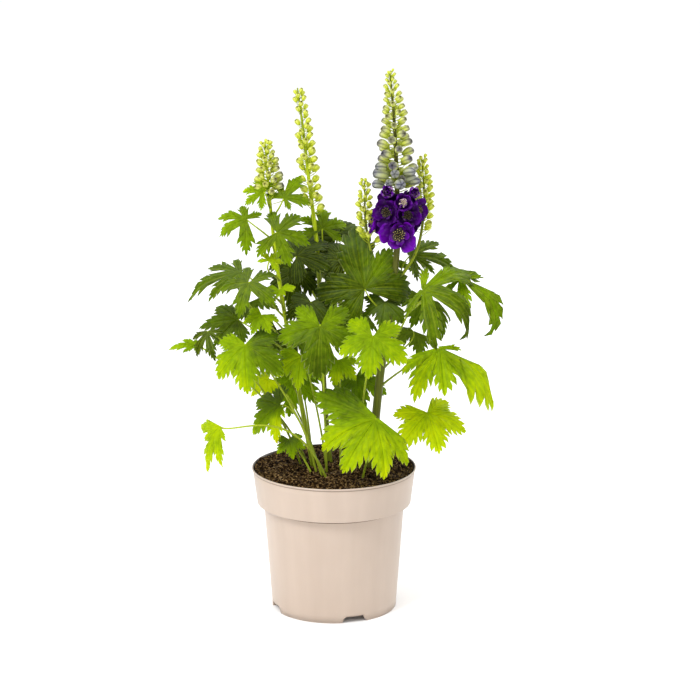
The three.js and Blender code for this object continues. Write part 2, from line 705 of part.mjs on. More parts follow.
// The hole that a stem stands in: the stem's own foot, a little wider, carried on above the soil.
function holeFor({ path, radii, frames }, sides) {
  const above = path.findIndex((p) => p.z > SOIL_EDGE_Z + SOIL_MOUND + 4);
  const foot = path.slice(0, above + 1).map((p) => p.clone());
  const down = vec().subVectors(foot[0], foot[1]).normalize();
  foot[0].addScaledVector(down, CLEARANCE);
  return sweep(foot, radii.slice(0, above + 1).map((r) => r + 1.5 * CLEARANCE), sides, frames);
}

// ---- assembly ----

const holes = [];

function crownLeaves() {
  CROWN_LEAVES.forEach((row, i) => {
    const [name, x, y, z, face, lift, spin, reach, bend, lobes, kind, footX, footY, rise] = row;
    const leaf = { hub: vec(x, y, z), face, lift, spin, reach, bend, lobes, kind };
    const base = vec(footX, footY, soilTop(footX, footY) - HOLE_DEPTH);
    const lean = vec(x - footX, y - footY, 0).multiplyScalar(0.35 / base.distanceTo(leaf.hub));
    const leave = lean.add(vec(0, 0, 1)).normalize();
    const grown = leafOnStalk(leaf, base, leave, rise, i, CROWN_STALK_R, CROWN_STALK_STEPS);
    holes.push(holeFor(grown, STALK_SIDES));
    addNode(name, grown.made, PLAIN_GREEN);
  });
}

function stemLeaves(curve, leaves, seed) {
  return leaves.map(([height, x, y, z, face, lift, spin, reach, bend, lobes, kind], i) => {
    const leaf = { hub: vec(x, y, z), face, lift, spin, reach, bend, lobes, kind };
    const { at, along } = stemAt(curve, height);
    const out = vec(x - at.x, y - at.y, 0).normalize();
    const leave = along.clone().add(out).normalize();
    return leafOnStalk(leaf, at, leave, STEM_LEAF_RISE, seed + i, STEM_STALK_R, STEM_STALK_STEPS).made;
  });
}

function stem(name, { axis, radii, leaves }, seed, extra) {
  const curve = stemCurve(axis);
  const path = curve.getPoints(STEM_STEPS);
  const widths = path.map((_, i) => radiusAt(radii, i / STEM_STEPS));
  holes.push(holeFor({ path, radii: widths, frames: framesAlong(path) }, STEM_SIDES));
  const tube = stemTube(curve, radii, STEM_STEPS);
  const made = Manifold.union([tube, ...stemLeaves(curve, leaves, seed), ...extra(curve)]);
  return addNode(name, made, PLAIN_GREEN);
}

// The centre and face of a floret, and the stalk that carries it.
function floretPlace([, , x, y, z, face, lift, , , height]) {
  const { at } = stemAt(stemCurve(RIGHT_STEM.axis), height);
  const centre = vec(x, y, z);
  const axes = bladeAxes({ face, lift, spin: 180 });
  const back = centre.clone().addScaledVector(axes.n, -FLORET_DEPTH - CLEARANCE);
  const bow = back.clone().addScaledVector(axes.n, -0.4 * at.distanceTo(back));
  return { centre, axes, stalk: new THREE.QuadraticBezierCurve3(at, bow, back).getPoints(3) };
}

function floretStalks() {
  return FLORETS.map((row) => sweep(floretPlace(row).stalk, [1.3, 1.2, FLORET_STALK_R, FLORET_STALK_R], 4));
}

function ringOfLobes(count, turn, bend, seed) {
  return Array.from({ length: count }, (_, i) => ({
    angle: (360 / count) * i + turn,
    length: 1 + 0.06 * vary(seed, i),
    bend,
    near: 1,
    far: 1,
  }));
}

// A floret: five outer petals on a short cone that the stalk meets, and five smaller ones in the gaps
// between them.
function floret(row, seed) {
  const [, eye, , , , , , reach, bend] = row;
  const { centre, axes } = floretPlace(row);
  const shared = { axes, edge: EDGE_PETAL, fold: -0.06, ring: true, thick: PETAL };
  const outer = {
    ...shared,
    hub: centre,
    reach,
    cut: 0.38,
    lobes: ringOfLobes(5, 0, bend, seed),
    boss: FLORET_DEPTH - PETAL / 2,
  };
  const inner = {
    ...shared,
    hub: centre.clone().addScaledVector(axes.n, 1.6),
    reach: 0.66 * reach,
    cut: 0.4,
    lobes: ringOfLobes(5, 36, 1.25 * bend, seed + 9),
    boss: 1.2,
  };
  return (eye ? [outer, inner] : [outer]).map(blade).map(({ points, triangles }) => solid(points, triangles));
}

// The eye of a floret: a tuft of small petals in its throat.
function floretEye(row) {
  const [, , , , , , , reach, bend] = row;
  const { centre, axes } = floretPlace(row);
  const { points, triangles } = blade({
    hub: centre.clone().addScaledVector(axes.n, 4.4),
    axes,
    reach: 0.34 * reach,
    fold: 0.2,
    lobes: ringOfLobes(5, 15, Math.max(bend, -1), 0),
    edge: [],
    cut: 0.5,
    ring: true,
    thick: PETAL,
    boss: 1.4,
  });
  return solid(points, triangles);
}

function florets() {
  const heads = [...new Set(FLORETS.map(([node]) => node))];
  heads.forEach((head) => {
    const made = FLORETS.flatMap((row, i) => (row[0] === head ? floret(row, 80 + i) : []));
    addNode(head, Manifold.union(made), { color: 0x4b1294, roughness: 0.55, metalness: 0 });
  });
  const open = FLORETS.filter(([, eye]) => eye);
  open.forEach((row) => addNode(row[1], floretEye(row), { color: 0x6b5a2a, roughness: 0.8, metalness: 0 }));
}

addNode("pot", pot(), { color: 0xd9c5b4, roughness: 0.45, metalness: 0 });
crownLeaves();
stem("stem_right", RIGHT_STEM, 20, (curve) => [
  ...budsUp(curve, RIGHT_BUDS),
  ...SIDE_SHOOTS.flatMap(({ axis, buds }) => {
    const shoot = stemCurve(axis);
    return [stemTube(shoot, SHOOT_RADII, SHOOT_STEPS), ...budsUp(shoot, buds)];
  }),
  ...floretStalks(),
]);
stem("stem_middle", MIDDLE_STEM, 40, (curve) => budsUp(curve, MIDDLE_BUDS));
stem("stem_left", LEFT_STEM, 60, (curve) => budsUp(curve, LEFT_BUDS));
florets();
addNode("soil", soil(holes), { color: 0x2e2018, roughness: 1, metalness: 0 });

export default parts;
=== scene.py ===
"""A delphinium in its nursery pot: three flowering stems and a crown of long-stalked leaves.

Metres, +Z up, front towards -Y, with the origin on the pot's axis at the level of its foot. Rows that place
leaves, buds and florets are in millimetres and degrees, and MM turns them into metres.
"""

import math
from functools import cached_property

import bpy
import numpy as np
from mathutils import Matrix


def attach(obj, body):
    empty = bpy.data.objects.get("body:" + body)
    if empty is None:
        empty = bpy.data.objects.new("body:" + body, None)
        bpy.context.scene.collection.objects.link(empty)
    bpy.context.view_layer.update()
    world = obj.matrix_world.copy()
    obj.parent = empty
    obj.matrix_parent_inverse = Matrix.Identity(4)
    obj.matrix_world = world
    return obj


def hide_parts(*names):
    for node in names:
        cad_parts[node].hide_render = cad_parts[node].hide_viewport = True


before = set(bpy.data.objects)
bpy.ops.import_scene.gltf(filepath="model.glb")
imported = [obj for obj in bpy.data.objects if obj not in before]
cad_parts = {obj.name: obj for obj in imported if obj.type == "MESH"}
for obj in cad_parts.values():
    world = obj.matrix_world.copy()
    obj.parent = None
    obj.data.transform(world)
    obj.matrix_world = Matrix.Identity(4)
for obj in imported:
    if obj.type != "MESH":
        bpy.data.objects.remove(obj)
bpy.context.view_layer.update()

# -----------------------------------------------------------------------------------------------------------
# The pot. A round injection-moulded nursery pot of beige polypropylene: a thin tapered body, a step out to a
# deep collar and a rounded rim. Its foot ring is broken by four notches that let the water out.
MM = 0.001
RIM_R = 95 * MM
COLLAR_FOOT_R = 89.1 * MM
BODY_TOP_R = 81.6 * MM
FOOT_R = 72 * MM
POT_HEIGHT = 167 * MM
COLLAR_Z = 125.5 * MM
LIP_ROUND = 1 * MM
LIP_GROOVE_Z = POT_HEIGHT - 2.8 * MM
STEP_ROUND = 0.8 * MM
WALL = 1.6 * MM
BASE_Z = 8 * MM
FOOT_WIDTH = 3 * MM
POLE_R = 0.02 * MM  # radius of the last ring at the middle of a round surface
POT_TURNS = 192
NOTCH_TURNS = np.radians(-70.6 + 90 * np.arange(4))
NOTCH_HALF_WIDTH = 13 * MM
NOTCH_SLOPE = 2 * MM
NOTCH_HEIGHT = 7.4 * MM
DARKENED_DEPTH = 9 * MM  # how far down from the rim the wall inside is darkened


def new_piece(name, points, faces, slot, replaced=(), smooth=True):
    """A mesh object from an array of points and an array of faces, riding on the body."""
    mesh = bpy.data.meshes.new(name)
    mesh.from_pydata(np.asarray(points).tolist(), [], np.asarray(faces).tolist())
    mesh.validate()
    mesh.polygons.foreach_set("use_smooth", np.full(len(mesh.polygons), smooth))
    made = bpy.data.objects.new(name, mesh)
    bpy.context.scene.collection.objects.link(made)
    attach(made, "root")
    if replaced:
        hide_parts(*replaced)
    return made


def grid_faces(rows, columns, wrap):
    """The quads of a grid of rows by columns, whose columns join up where wrap is true."""
    j = np.arange(columns if wrap else columns - 1)
    i = np.arange(rows - 1)[:, None]
    after = (j + 1) % columns
    corners = (i * columns + j, i * columns + after, (i + 1) * columns + after, (i + 1) * columns + j)
    return np.stack(np.broadcast_arrays(*corners), axis=-1).reshape(-1, 4)


def arc(centre, radius, start, end, steps):
    """Points of a circle's arc in the r, z plane, from the start to the end angle in degrees."""
    turn = np.radians(np.linspace(start, end, steps))
    return np.stack([centre[0] + radius * np.cos(turn), centre[1] + radius * np.sin(turn)], axis=1)


def pot_outline():
    """The pot's section as r, z points, from the outer foot over the rim to the middle of its floor."""
    body = np.linspace((FOOT_R, 0), (BODY_TOP_R - 0.25 * MM, COLLAR_Z - 0.7 * MM), 14)
    shadow_line = np.array([(BODY_TOP_R - 0.1 * MM, COLLAR_Z - 0.1 * MM), (BODY_TOP_R + 0.8 * MM, COLLAR_Z)])
    step = arc((COLLAR_FOOT_R - STEP_ROUND, COLLAR_Z + STEP_ROUND), STEP_ROUND, -90, 0, 5)
    collar_foot = (COLLAR_FOOT_R + 0.1 * MM, COLLAR_Z + 2 * MM)
    collar = np.linspace(collar_foot, (RIM_R - 1.2 * MM, POT_HEIGHT - 3.3 * MM), 6)
    lip_groove = np.array([(RIM_R - 1.5 * MM, LIP_GROOVE_Z), (RIM_R - 1.4 * MM, LIP_GROOVE_Z + 0.3 * MM)])
    lip = arc((RIM_R - LIP_ROUND, POT_HEIGHT - LIP_ROUND), LIP_ROUND, -80, 120, 10)
    inside = np.array([
        (RIM_R - WALL - 1.2 * MM, POT_HEIGHT - 3 * MM),
        (COLLAR_FOOT_R - WALL, COLLAR_Z + 3 * MM),
        (BODY_TOP_R - WALL, COLLAR_Z + 1 * MM),
        (FOOT_R + 1 * MM - WALL, BASE_Z + WALL),
        (POLE_R, BASE_Z + WALL),
    ])
    return np.concatenate([body, shadow_line, step, collar, lip_groove, lip, inside])


def foot_outline():
    """The section under the pot as r, z points, from the middle of the base to the foot's inner edge."""
    return np.array([(POLE_R, BASE_Z), (FOOT_R - FOOT_WIDTH - 2 * MM, BASE_Z), (FOOT_R - FOOT_WIDTH, 0)])


def notch_lift(turn):
    """How far the foot is cut away at each angle: full height inside a notch, sloping off at its sides."""
    off = (turn[:, None] - NOTCH_TURNS + np.pi) % (2 * np.pi) - np.pi
    across = np.abs(off).min(axis=1) * FOOT_R
    return NOTCH_HEIGHT * np.clip((NOTCH_HALF_WIDTH - across) / NOTCH_SLOPE + 0.5, 0, 1)


def pot_points():
    """The outline carried round the axis, with points at the foot's level raised to the notches' edges."""
    outline = np.concatenate([foot_outline(), pot_outline()])
    turn = 2 * np.pi * np.arange(POT_TURNS) / POT_TURNS
    lift = notch_lift(turn)
    r = np.repeat(outline[:, :1], POT_TURNS, axis=1)
    z = np.repeat(outline[:, 1:], POT_TURNS, axis=1)
    low = outline[:, 1] < 1e-9
    z[low] = lift
    taper = (BODY_TOP_R - FOOT_R) / COLLAR_Z
    outer = low & (outline[:, 0] > FOOT_R - 1e-6)
    r[outer] += taper * lift
    first = np.flatnonzero(outer)[0] + 1
    z[first] = np.maximum(z[first], lift + 0.8 * MM)
    return np.stack([r * np.cos(turn), r * np.sin(turn), z], axis=-1).reshape(-1, 3), len(outline)


class Finish:
    """A material as it is built. Each call adds a node to its tree and gives back the node or its output."""

    def __init__(self, name):
        self.material = bpy.data.materials.new(name)
        self.material.use_nodes = True
        self.tree = self.material.node_tree
        self.tree.nodes.clear()

    def node(self, kind, inputs=(), **settings):
        """A node with its settings. Each of its inputs is joined to a socket or set to a value."""
        made = self.tree.nodes.new(kind)
        for key, value in settings.items():
            setattr(made, key, value)
        for key, value in dict(inputs).items():
            if isinstance(value, bpy.types.NodeSocket):
                self.tree.links.new(value, made.inputs[key])
            else:
                made.inputs[key].default_value = value
        return made

    @cached_property
    def place(self):
        """The Object coordinates."""
        return self.node("ShaderNodeTexCoord").outputs["Object"]

    def values(self, *names):
        """The values that the piece's points hold under these names."""
        return [self.node("ShaderNodeAttribute", attribute_name=name).outputs["Fac"] for name in names]

    def stretched(self, scale):
        """The Object coordinates times a scale for each axis."""
        return self.node("ShaderNodeMapping", {"Vector": self.place, "Scale": scale}).outputs["Vector"]

    def noise(self, scale, detail=2.0, at=None, roughness=0.5):
        """Cloudy noise with about that many lumps to the metre of the place, or of other coordinates."""
        inputs = {"Vector": at or self.place, "Scale": scale, "Detail": detail, "Roughness": roughness}
        return self.node("ShaderNodeTexNoise", inputs).outputs["Fac"]

    def calc(self, operation, a, b=0.0, c=0.0):
        """One step of arithmetic."""
        return self.node("ShaderNodeMath", {0: a, 1: b, 2: c}, operation=operation).outputs[0]

    def spread(self, value, start, end, low=0.0, high=1.0):
        """The value, with the range from start to end laid on that from low to high and held within it."""
        inputs = {"Value": value, "From Min": start, "From Max": end, "To Min": low, "To Max": high}
        return self.node("ShaderNodeMapRange", inputs).outputs[0]

    def blend(self, factor, a, b, how="MIX"):
        """Colour a, and more of colour b as the factor goes from 0 to 1."""
        inputs = {"Factor": factor, "A": a, "B": b}
        return self.node("ShaderNodeMix", inputs, data_type="RGBA", blend_type=how).outputs[2]

    def ramp(self, factor, stops):
        """A colour ramp over the factor, from (place, colour) stops."""
        made = self.node("ShaderNodeValToRGB", {"Fac": factor})
        band = made.color_ramp.elements
        while len(band) < len(stops):
            band.new(0.5)
        for element, (place, colour) in zip(band, stops):
            element.position = place
            element.color = (*colour, 1)
        return made.outputs["Color"]

    def bumps(self, height, strength, distance):
        """Normals tilted by a relief too fine for the mesh."""
        inputs = {"Height": height, "Strength": strength, "Distance": distance}
        return self.node("ShaderNodeBump", inputs).outputs["Normal"]

    def surface(self, colour, roughness, **more):
        """An opaque skin. The other inputs are named with _ for each space."""
        inputs = {"Base Color": colour, "Roughness": roughness}
        inputs |= {key.replace("_", " "): value for key, value in more.items()}
        return self.node("ShaderNodeBsdfPrincipled", inputs)

    def see_through(self, share, skin, colour):
        """A skin so thin that a share of the light shines through it in that colour."""
        glow = self.node("ShaderNodeBsdfTranslucent", {"Color": colour})
        return self.node("ShaderNodeMixShader", {0: share, 1: skin.outputs[0], 2: glow.outputs[0]})

    def done(self, skin):
        """The material, with its tree ended in that skin."""
        self.node("ShaderNodeOutputMaterial", {"Surface": skin.outputs[0]})
        return self.material


def pot_plastic():
    """Satin beige polypropylene: faint flow marks up the wall, the inside darkened in patches below the rim,
    painted shade in the groove under the lip, a painted shadow line under the collar, and a grain too small
    to see as bumps."""
    pot = Finish("pot_plastic")
    flow = pot.noise(1.0, 4.0, at=pot.stretched((60, 60, 5)))
    cloud = pot.noise(14.0, 5.0)
    beiges = [(0.12, (0.46, 0.365, 0.295)), (0.42, (0.51, 0.41, 0.335))]
    beige = pot.ramp(pot.calc("MULTIPLY", flow, cloud), beiges)
    facing = {0: pot.stretched((1, 1, 0)), 1: pot.node("ShaderNodeNewGeometry").outputs["True Normal"]}
    outward = pot.node("ShaderNodeVectorMath", facing, operation="DOT_PRODUCT").outputs["Value"]
    # The inside of the wall near the rim is darkened in patches.
    inside = pot.calc("LESS_THAN", outward, -0.2 * RIM_R)
    height = pot.node("ShaderNodeSeparateXYZ", {0: pot.place}).outputs[2]
    above = pot.calc("GREATER_THAN", height, POT_HEIGHT - DARKENED_DEPTH)
    patchiness = pot.spread(cloud, 0.3, 0.5, low=0.75)
    inner_darkening = pot.calc("MULTIPLY", pot.calc("MULTIPLY", inside, above), patchiness)
    inner_darkened = pot.blend(inner_darkening, beige, (0.03, 0.019, 0.01, 1))
    # Painted shade: a dark line in the groove under the lip, and a painted shadow line on the body just
    # under the collar's step.
    groove_shade = pot.spread(pot.calc("COMPARE", height, LIP_GROOVE_Z, 0.55 * MM), 0, 1, high=0.55)
    step_shadow = pot.calc("COMPARE", height, COLLAR_Z - 2.3 * MM, 0.8 * MM)
    colour = pot.blend(pot.calc("MAXIMUM", groove_shade, step_shadow), inner_darkened, (0.13, 0.09, 0.06, 1))
    grain = pot.bumps(pot.noise(900.0), 0.04, 0.4 * MM)
    return pot.done(pot.surface(colour, pot.spread(cloud, 0, 1, 0.3, 0.46), Normal=grain, IOR=1.49,
                                Subsurface_Weight=0.12, Subsurface_Radius=(0.004, 0.003, 0.002)))


pot_mesh, pot_rows = pot_points()
pot = new_piece("pot_shell", pot_mesh, grid_faces(pot_rows, POT_TURNS, True), "pot", ["pot"])
pot.data.materials.append(pot_plastic())

# -----------------------------------------------------------------------------------------------------------
# The potting soil. Dark peat in clods and crumbs, heaped a little round the crown, with pale fibres on top.
# It fills the pot and ends just under the rim.
SOIL_EDGE_Z = POT_HEIGHT - 5 * MM
SOIL_MOUND = 6 * MM
SOIL_HEAP = 3.6 * MM  # how much higher the crumbs lie against the wall
HEAP_FROM = 0.86  # share of the soil's radius at which that heap begins
SOIL_RINGS = 90
SOIL_TURNS = 300
SOIL_R = RIM_R - WALL - 1.9 * MM
CRUMBS = 1500
FIBRES = 260
FIBRE_POINTS = 6
LATTICE = 64  # random values along each side of the lattice for value_noise


def vary(i, j):
    """A repeatable draw between -1 and 1 for the pair i, j."""
    s = math.sin(i * 12.9898 + j * 78.233) * 43758.5453
    return 2 * (s - math.floor(s)) - 1


def soil_top(x, y):
    """The soil's mean height: a low mound round the crown with hollows and lumps, in metres."""
    a, b = x / MM, y / MM
    r = np.hypot(x, y) / RIM_R
    lumps = 1.4 * np.sin(0.11 * a + 0.6) * np.cos(0.13 * b - 0.4) + 0.8 * np.sin(0.27 * a - 0.21 * b)
    return SOIL_EDGE_Z + SOIL_MOUND * (1 - r * r) + lumps * MM


def value_noise(x, y, cell, seed):
    """Smooth noise from -1 to 1: random values on a square lattice, blended between its corners."""
    values = np.random.default_rng(seed).uniform(-1, 1, (LATTICE, LATTICE))
    u, v = x / cell, y / cell
    i, j = np.floor(u).astype(int), np.floor(v).astype(int)
    a, b = u - i, v - j
    a, b = a * a * (3 - 2 * a), b * b * (3 - 2 * b)
    left, right, low, high = i % LATTICE, (i + 1) % LATTICE, j % LATTICE, (j + 1) % LATTICE
    low_side = values[left, low] * (1 - a) + values[right, low] * a
    high_side = values[left, high] * (1 - a) + values[right, high] * a
    return low_side * (1 - b) + high_side * b


def crumbly(x, y):
    """The soil's height with its crumbs: the mean height and three sizes of noise, the largest in clods."""
    clods = 2.4 * np.abs(value_noise(x, y, 6.3 * MM, 1)) ** 0.7
    crumbs = 1.5 * np.abs(value_noise(x + 0.3, y, 3.1 * MM, 2)) + 0.45 * value_noise(x, y + 0.2, 1.4 * MM, 3)
    heap = SOIL_HEAP * np.clip((np.hypot(x, y) / SOIL_R - HEAP_FROM) / 0.12, 0, 1) ** 2
    return soil_top(x, y) + (clods + crumbs - 1.6) * MM + heap


def soil_points():
    """Rings from the middle out to the wall, then a skirt down the wall to the pot's floor."""
    turn = 2 * np.pi * np.arange(SOIL_TURNS) / SOIL_TURNS
    r = SOIL_R * (np.arange(SOIL_RINGS) + 0.02) / (SOIL_RINGS - 0.98)
    x, y = r[:, None] * np.cos(turn), r[:, None] * np.sin(turn)
    top = np.stack([x, y, crumbly(x, y)], axis=-1)
    floor_z = BASE_Z + WALL + 0.5 * MM
    skirt = [(COLLAR_FOOT_R - WALL - 1 * MM, COLLAR_Z + 4 * MM), (BODY_TOP_R - WALL - 0.6 * MM, COLLAR_Z),
             (FOOT_R - WALL, floor_z), (POLE_R, floor_z)]
    side = [np.stack([r * np.cos(turn), r * np.sin(turn), np.full(SOIL_TURNS, z)], -1) for r, z in skirt]
    return np.concatenate([top, np.stack(side)]).reshape(-1, 3)


# A crumb is an octahedron drawn out at random; these are its corners and faces.
CRUMB = np.array([(1, 0, 0), (-1, 0, 0), (0, 1, 0), (0, -1, 0), (0, 0, 1), (0, 0, -1)], float)
CRUMB_FACES = np.array([(0, 2, 4), (2, 1, 4), (1, 3, 4), (3, 0, 4),
                        (2, 0, 5), (1, 2, 5), (3, 1, 5), (0, 3, 5)])


def scattered(count, rng, edge):
    """Random places on the soil, even over its area."""
    r = edge * np.sqrt(rng.uniform(0.0004, 1, count))
    turn = rng.uniform(0, 2 * np.pi, count)
    return r * np.cos(turn), r * np.sin(turn)


def copies(points, faces, count):
    """One point array and one face array for shapes that have the same faces: points is count by n by 3."""
    shift = points.shape[1] * np.arange(count)[:, None, None]
    return points.reshape(-1, 3), (faces[None] + shift).reshape(-1, faces.shape[1])


def crumbs():
    """Loose crumbs of peat: octahedra of 1 to 4 mm with shaken corners, lying half sunk in the surface."""
    rng = np.random.default_rng(11)
    x, y = scattered(CRUMBS, rng, SOIL_R - 3 * MM)
    size = MM * (0.5 + 1.5 * rng.uniform(0, 1, CRUMBS) ** 3)
    shape = CRUMB * rng.uniform(0.6, 1.3, (CRUMBS, 6, 1)) + rng.uniform(-0.3, 0.3, (CRUMBS, 6, 3))
    centre = np.stack([x, y, crumbly(x, y) + 0.25 * size], axis=-1)
    return copies(centre[:, None] + shape * size[:, None, None], CRUMB_FACES, CRUMBS)


def fibres():
    """Peat fibres and bits of root: bent three-sided threads of 4 to 14 mm that lie on the surface, each a
    circle that thins towards both ends, carried along a path whose heading turns evenly."""
    rng = np.random.default_rng(12)
    x, y = scattered(FIBRES, rng, SOIL_R - 9 * MM)
    heading = rng.uniform(0, 2 * np.pi, FIBRES)
    curl = rng.uniform(-2.5, 2.5, FIBRES)
    long = MM * rng.uniform(4, 14, FIBRES)
    share = np.linspace(0, 1, FIBRE_POINTS)
    turn = heading[:, None] + curl[:, None] * share
    step = long[:, None] / (FIBRE_POINTS - 1)
    px = x[:, None] + np.cumsum(np.cos(turn) * step, axis=1)
    py = y[:, None] + np.cumsum(np.sin(turn) * step, axis=1)
    pz = crumbly(px, py) + MM * (0.5 + 0.8 * np.sin(np.pi * share) * rng.uniform(0, 1.4, (FIBRES, 1)))
    around = 2 * np.pi * np.arange(3) / 3
    thin = MM * rng.uniform(0.12, 0.3, (FIBRES, 1, 1)) * np.sin(np.pi * (0.12 + 0.76 * share))[None, :, None]
    ring_x = px[..., None] - np.sin(turn)[..., None] * thin * np.cos(around)
    ring_y = py[..., None] + np.cos(turn)[..., None] * thin * np.cos(around)
    points = np.stack([ring_x, ring_y, pz[..., None] + thin * np.sin(around)], axis=-1)
    return copies(points.reshape(FIBRES, -1, 3), grid_faces(FIBRE_POINTS, 3, True), FIBRES)


def peat():
    """Wet dark peat: near black to warm brown in cloudy patches, with paler bits, dull and rough."""
    soil = Finish("peat")
    colour = soil.ramp(soil.noise(330.0, 5.0, roughness=0.62), [
        (0.4, (0.003, 0.001, 0.0)),
        (0.5, (0.022, 0.01, 0.003)),
        (0.57, (0.1, 0.057, 0.018)),
        (0.66, (0.32, 0.21, 0.1)),
    ])
    grit = soil.bumps(soil.noise(1500.0, 4.0), 0.7, 0.8 * MM)
    return soil.done(soil.surface(colour, 0.85, Normal=grit, Specular_IOR_Level=0.04))


def dry_fibre():
    """Straw-coloured threads, paler and darker along their length."""
    straw = Finish("dry_fibre")
    browns = [(0.3, (0.05, 0.025, 0.012)), (0.55, (0.2, 0.12, 0.05)), (0.7, (0.42, 0.3, 0.14))]
    return straw.done(straw.surface(straw.ramp(straw.noise(120.0, 3.0), browns), 0.7))


peat_look = peat()
soil_faces = grid_faces(SOIL_RINGS + 4, SOIL_TURNS, True)[:, ::-1]
soil = new_piece("soil_bed", soil_points(), soil_faces, "soil", ["soil"])
soil.data.materials.append(peat_look)
crumb_piece = new_piece("soil_crumbs", *crumbs(), "soil", smooth=False)
crumb_piece.data.materials.append(peat_look)
fibre_piece = new_piece("soil_fibres", *fibres(), "soil")
fibre_piece.data.materials.append(dry_fibre())

# -----------------------------------------------------------------------------------------------------------
# Stems and stalks. Each flowering stem is a round, faintly ribbed shoot, brownish green at its foot and
# yellow-green above; leaf stalks are thinner and paler. They stand in the soil, and everything they bear has
# grown out of them.
STEM_STEPS = 70
SHOOT_STEPS = 24
STEM_SIDES = 18
UP = np.array([0, 0, 1.0])
# Axes are x, y, z points in millimetres from the soil up, with a radius and a tone for each point.
STEM_AXES = {
    "right": [(40, -5, 134), (46, -6, 203), (53, -5, 275), (65, -4, 361),
              (72, -2, 427), (71, 0, 509), (68, 0, 570), (63, 0, 626)],
    "middle": [(-2, 14, 133), (-10, 20, 232), (-15, 28, 342), (-20, 34, 426),
               (-28, 35, 493), (-36, 35, 564), (-41, 35, 602)],
    "left": [(-18, -2, 134), (-36, -2, 233), (-54, 0, 335), (-66, 0, 417), (-72, 0, 478), (-77, 0, 544)],
}
STEM_RADII = {
    "right": [5.0, 4.8, 4.6, 4.0, 3.4, 2.6, 1.7, 0.9],
    "middle": [3.1, 2.9, 2.7, 2.4, 2.0, 1.4, 0.8],
    "left": [2.9, 2.7, 2.4, 2.1, 1.8, 0.9],
}
# How green each stem is at the points of its axis, from 0, olive brown, to 1, yellow-green.
STEM_TONES = {
    "right": [0.12, 0.18, 0.28, 0.34, 0.0, 0.05, 0.05, 0.4],
    "middle": [0.5, 0.3, 0.1, 0.95, 0.9, 0.6, 0.5],
    "left": [0.6, 0.65, 0.75, 0.95, 0.85, 0.6],
}
# The two side shoots of the right stem.
SHOOT_AXES = [
    [(66, -4, 372), (48, 4, 404), (37, 6, 447), (35, 6, 500)],
    [(69, -3, 382), (90, 12, 409), (102, 20, 455), (100, 22, 526)],
]
SHOOT_RADII = [2.0, 1.8, 1.4, 0.6]
SHOOT_TONES = [0.6, 0.55, 0.3, 0.4]


def unit(v):
    """Vectors scaled to length 1 along their last axis."""
    return v / np.linalg.norm(v, axis=-1, keepdims=True)


def axis_at(axis, height):
    """Points of a stem's axis at the heights: a cubic through its points, sloped as their neighbours lie."""
    axis = np.asarray(axis, float)
    height = np.atleast_1d(np.asarray(height, float))
    slope = np.gradient(axis[:, :2], axis[:, 2], axis=0)
    i = np.clip(np.searchsorted(axis[:, 2], height) - 1, 0, len(axis) - 2)
    span = (axis[i + 1, 2] - axis[i, 2])[:, None]
    t = (height[:, None] - axis[i, 2:3]) / span
    flat = (2 * t**3 - 3 * t**2 + 1) * axis[i, :2] + (t**3 - 2 * t**2 + t) * span * slope[i]
    flat += (3 * t**2 - 2 * t**3) * axis[i + 1, :2] + (t**3 - t**2) * span * slope[i + 1]
    return np.column_stack([flat, height])


def frames_along(path, top):
    """Two directions square to a path at each point, carried back from its end without twist."""
    along = unit(np.gradient(path, axis=0))
    held = np.array(top)
    tops = np.empty_like(path)
    for i in range(len(path) - 1, -1, -1):
        held = unit(held - held @ along[i] * along[i])
        tops[i] = held
    return tops, np.cross(tops, along)


def tube(path, radii, sides, top=(1.0, 0.0, 0.0), ribs=0.0):
    """A closed tube: circles square to the path, their radius waved by ribs, drawn to points at its ends."""
    start, end = path[:1] - 1e-5 * (path[1:2] - path[:1]), path[-1:] + 1e-5 * (path[-1:] - path[-2:-1])
    path = np.vstack([start, path, end])
    radii = np.concatenate([[1e-6], radii, [1e-6]])
    tops, across = frames_along(path, top)
    turn = 2 * np.pi * np.arange(sides) / sides
    wave = 1 + ribs * np.cos(6 * turn)
    circle = np.cos(turn)[:, None] * tops[:, None] + np.sin(turn)[:, None] * across[:, None]
    points = path[:, None] + (radii[:, None] * wave)[..., None] * circle
    return points.reshape(-1, 3), grid_faces(len(path), sides, True)[:, ::-1]


def halved(quads):
    """Quads cut into triangles."""
    return np.concatenate([quads[:, :3], quads[:, [0, 2, 3]]])


class Batch:
    """Points, faces and per-point values gathered from many small shapes, to make one piece of them."""

    def __init__(self):
        self.points, self.faces, self.values, self.count = [], [], {}, 0

    def add(self, points, faces, **values):
        """Adds a shape. Each value is a number, or an array with one entry a point."""
        if faces.shape[1] == 4:
            faces = halved(faces)
        self.points.append(np.asarray(points))
        self.faces.append(faces + self.count)
        self.count += len(points)
        for key, value in values.items():
            self.values.setdefault(key, []).append(np.broadcast_to(value, len(points)))

    def piece(self, name, slot, material, replaced):
        """The gathered shapes as one object, each value in a point attribute of its name."""
        made = new_piece(name, np.concatenate(self.points), np.concatenate(self.faces), slot, replaced)
        for key, parts in self.values.items():
            attribute = made.data.attributes.new(key, "FLOAT", "POINT")
            attribute.data.foreach_set("value", np.concatenate(parts).astype(np.float32))
        made.data.materials.append(material)


def stem_tube(batch, axis, radii, tones, steps):
    """A stem along its axis, its radius and its tone carried evenly from point to point."""
    axis = np.asarray(axis, float)
    height = np.linspace(axis[0, 2], axis[-1, 2], steps)
    place = np.interp(height, axis[:, 2], np.arange(len(axis)))
    radius = np.interp(place, np.arange(len(radii)), radii) * MM
    points, faces = tube(axis_at(axis, height) * MM, radius, STEM_SIDES, ribs=0.035)
    batch.add(points, faces, tone=np.interp(points[:, 2] / MM, axis[:, 2], tones))


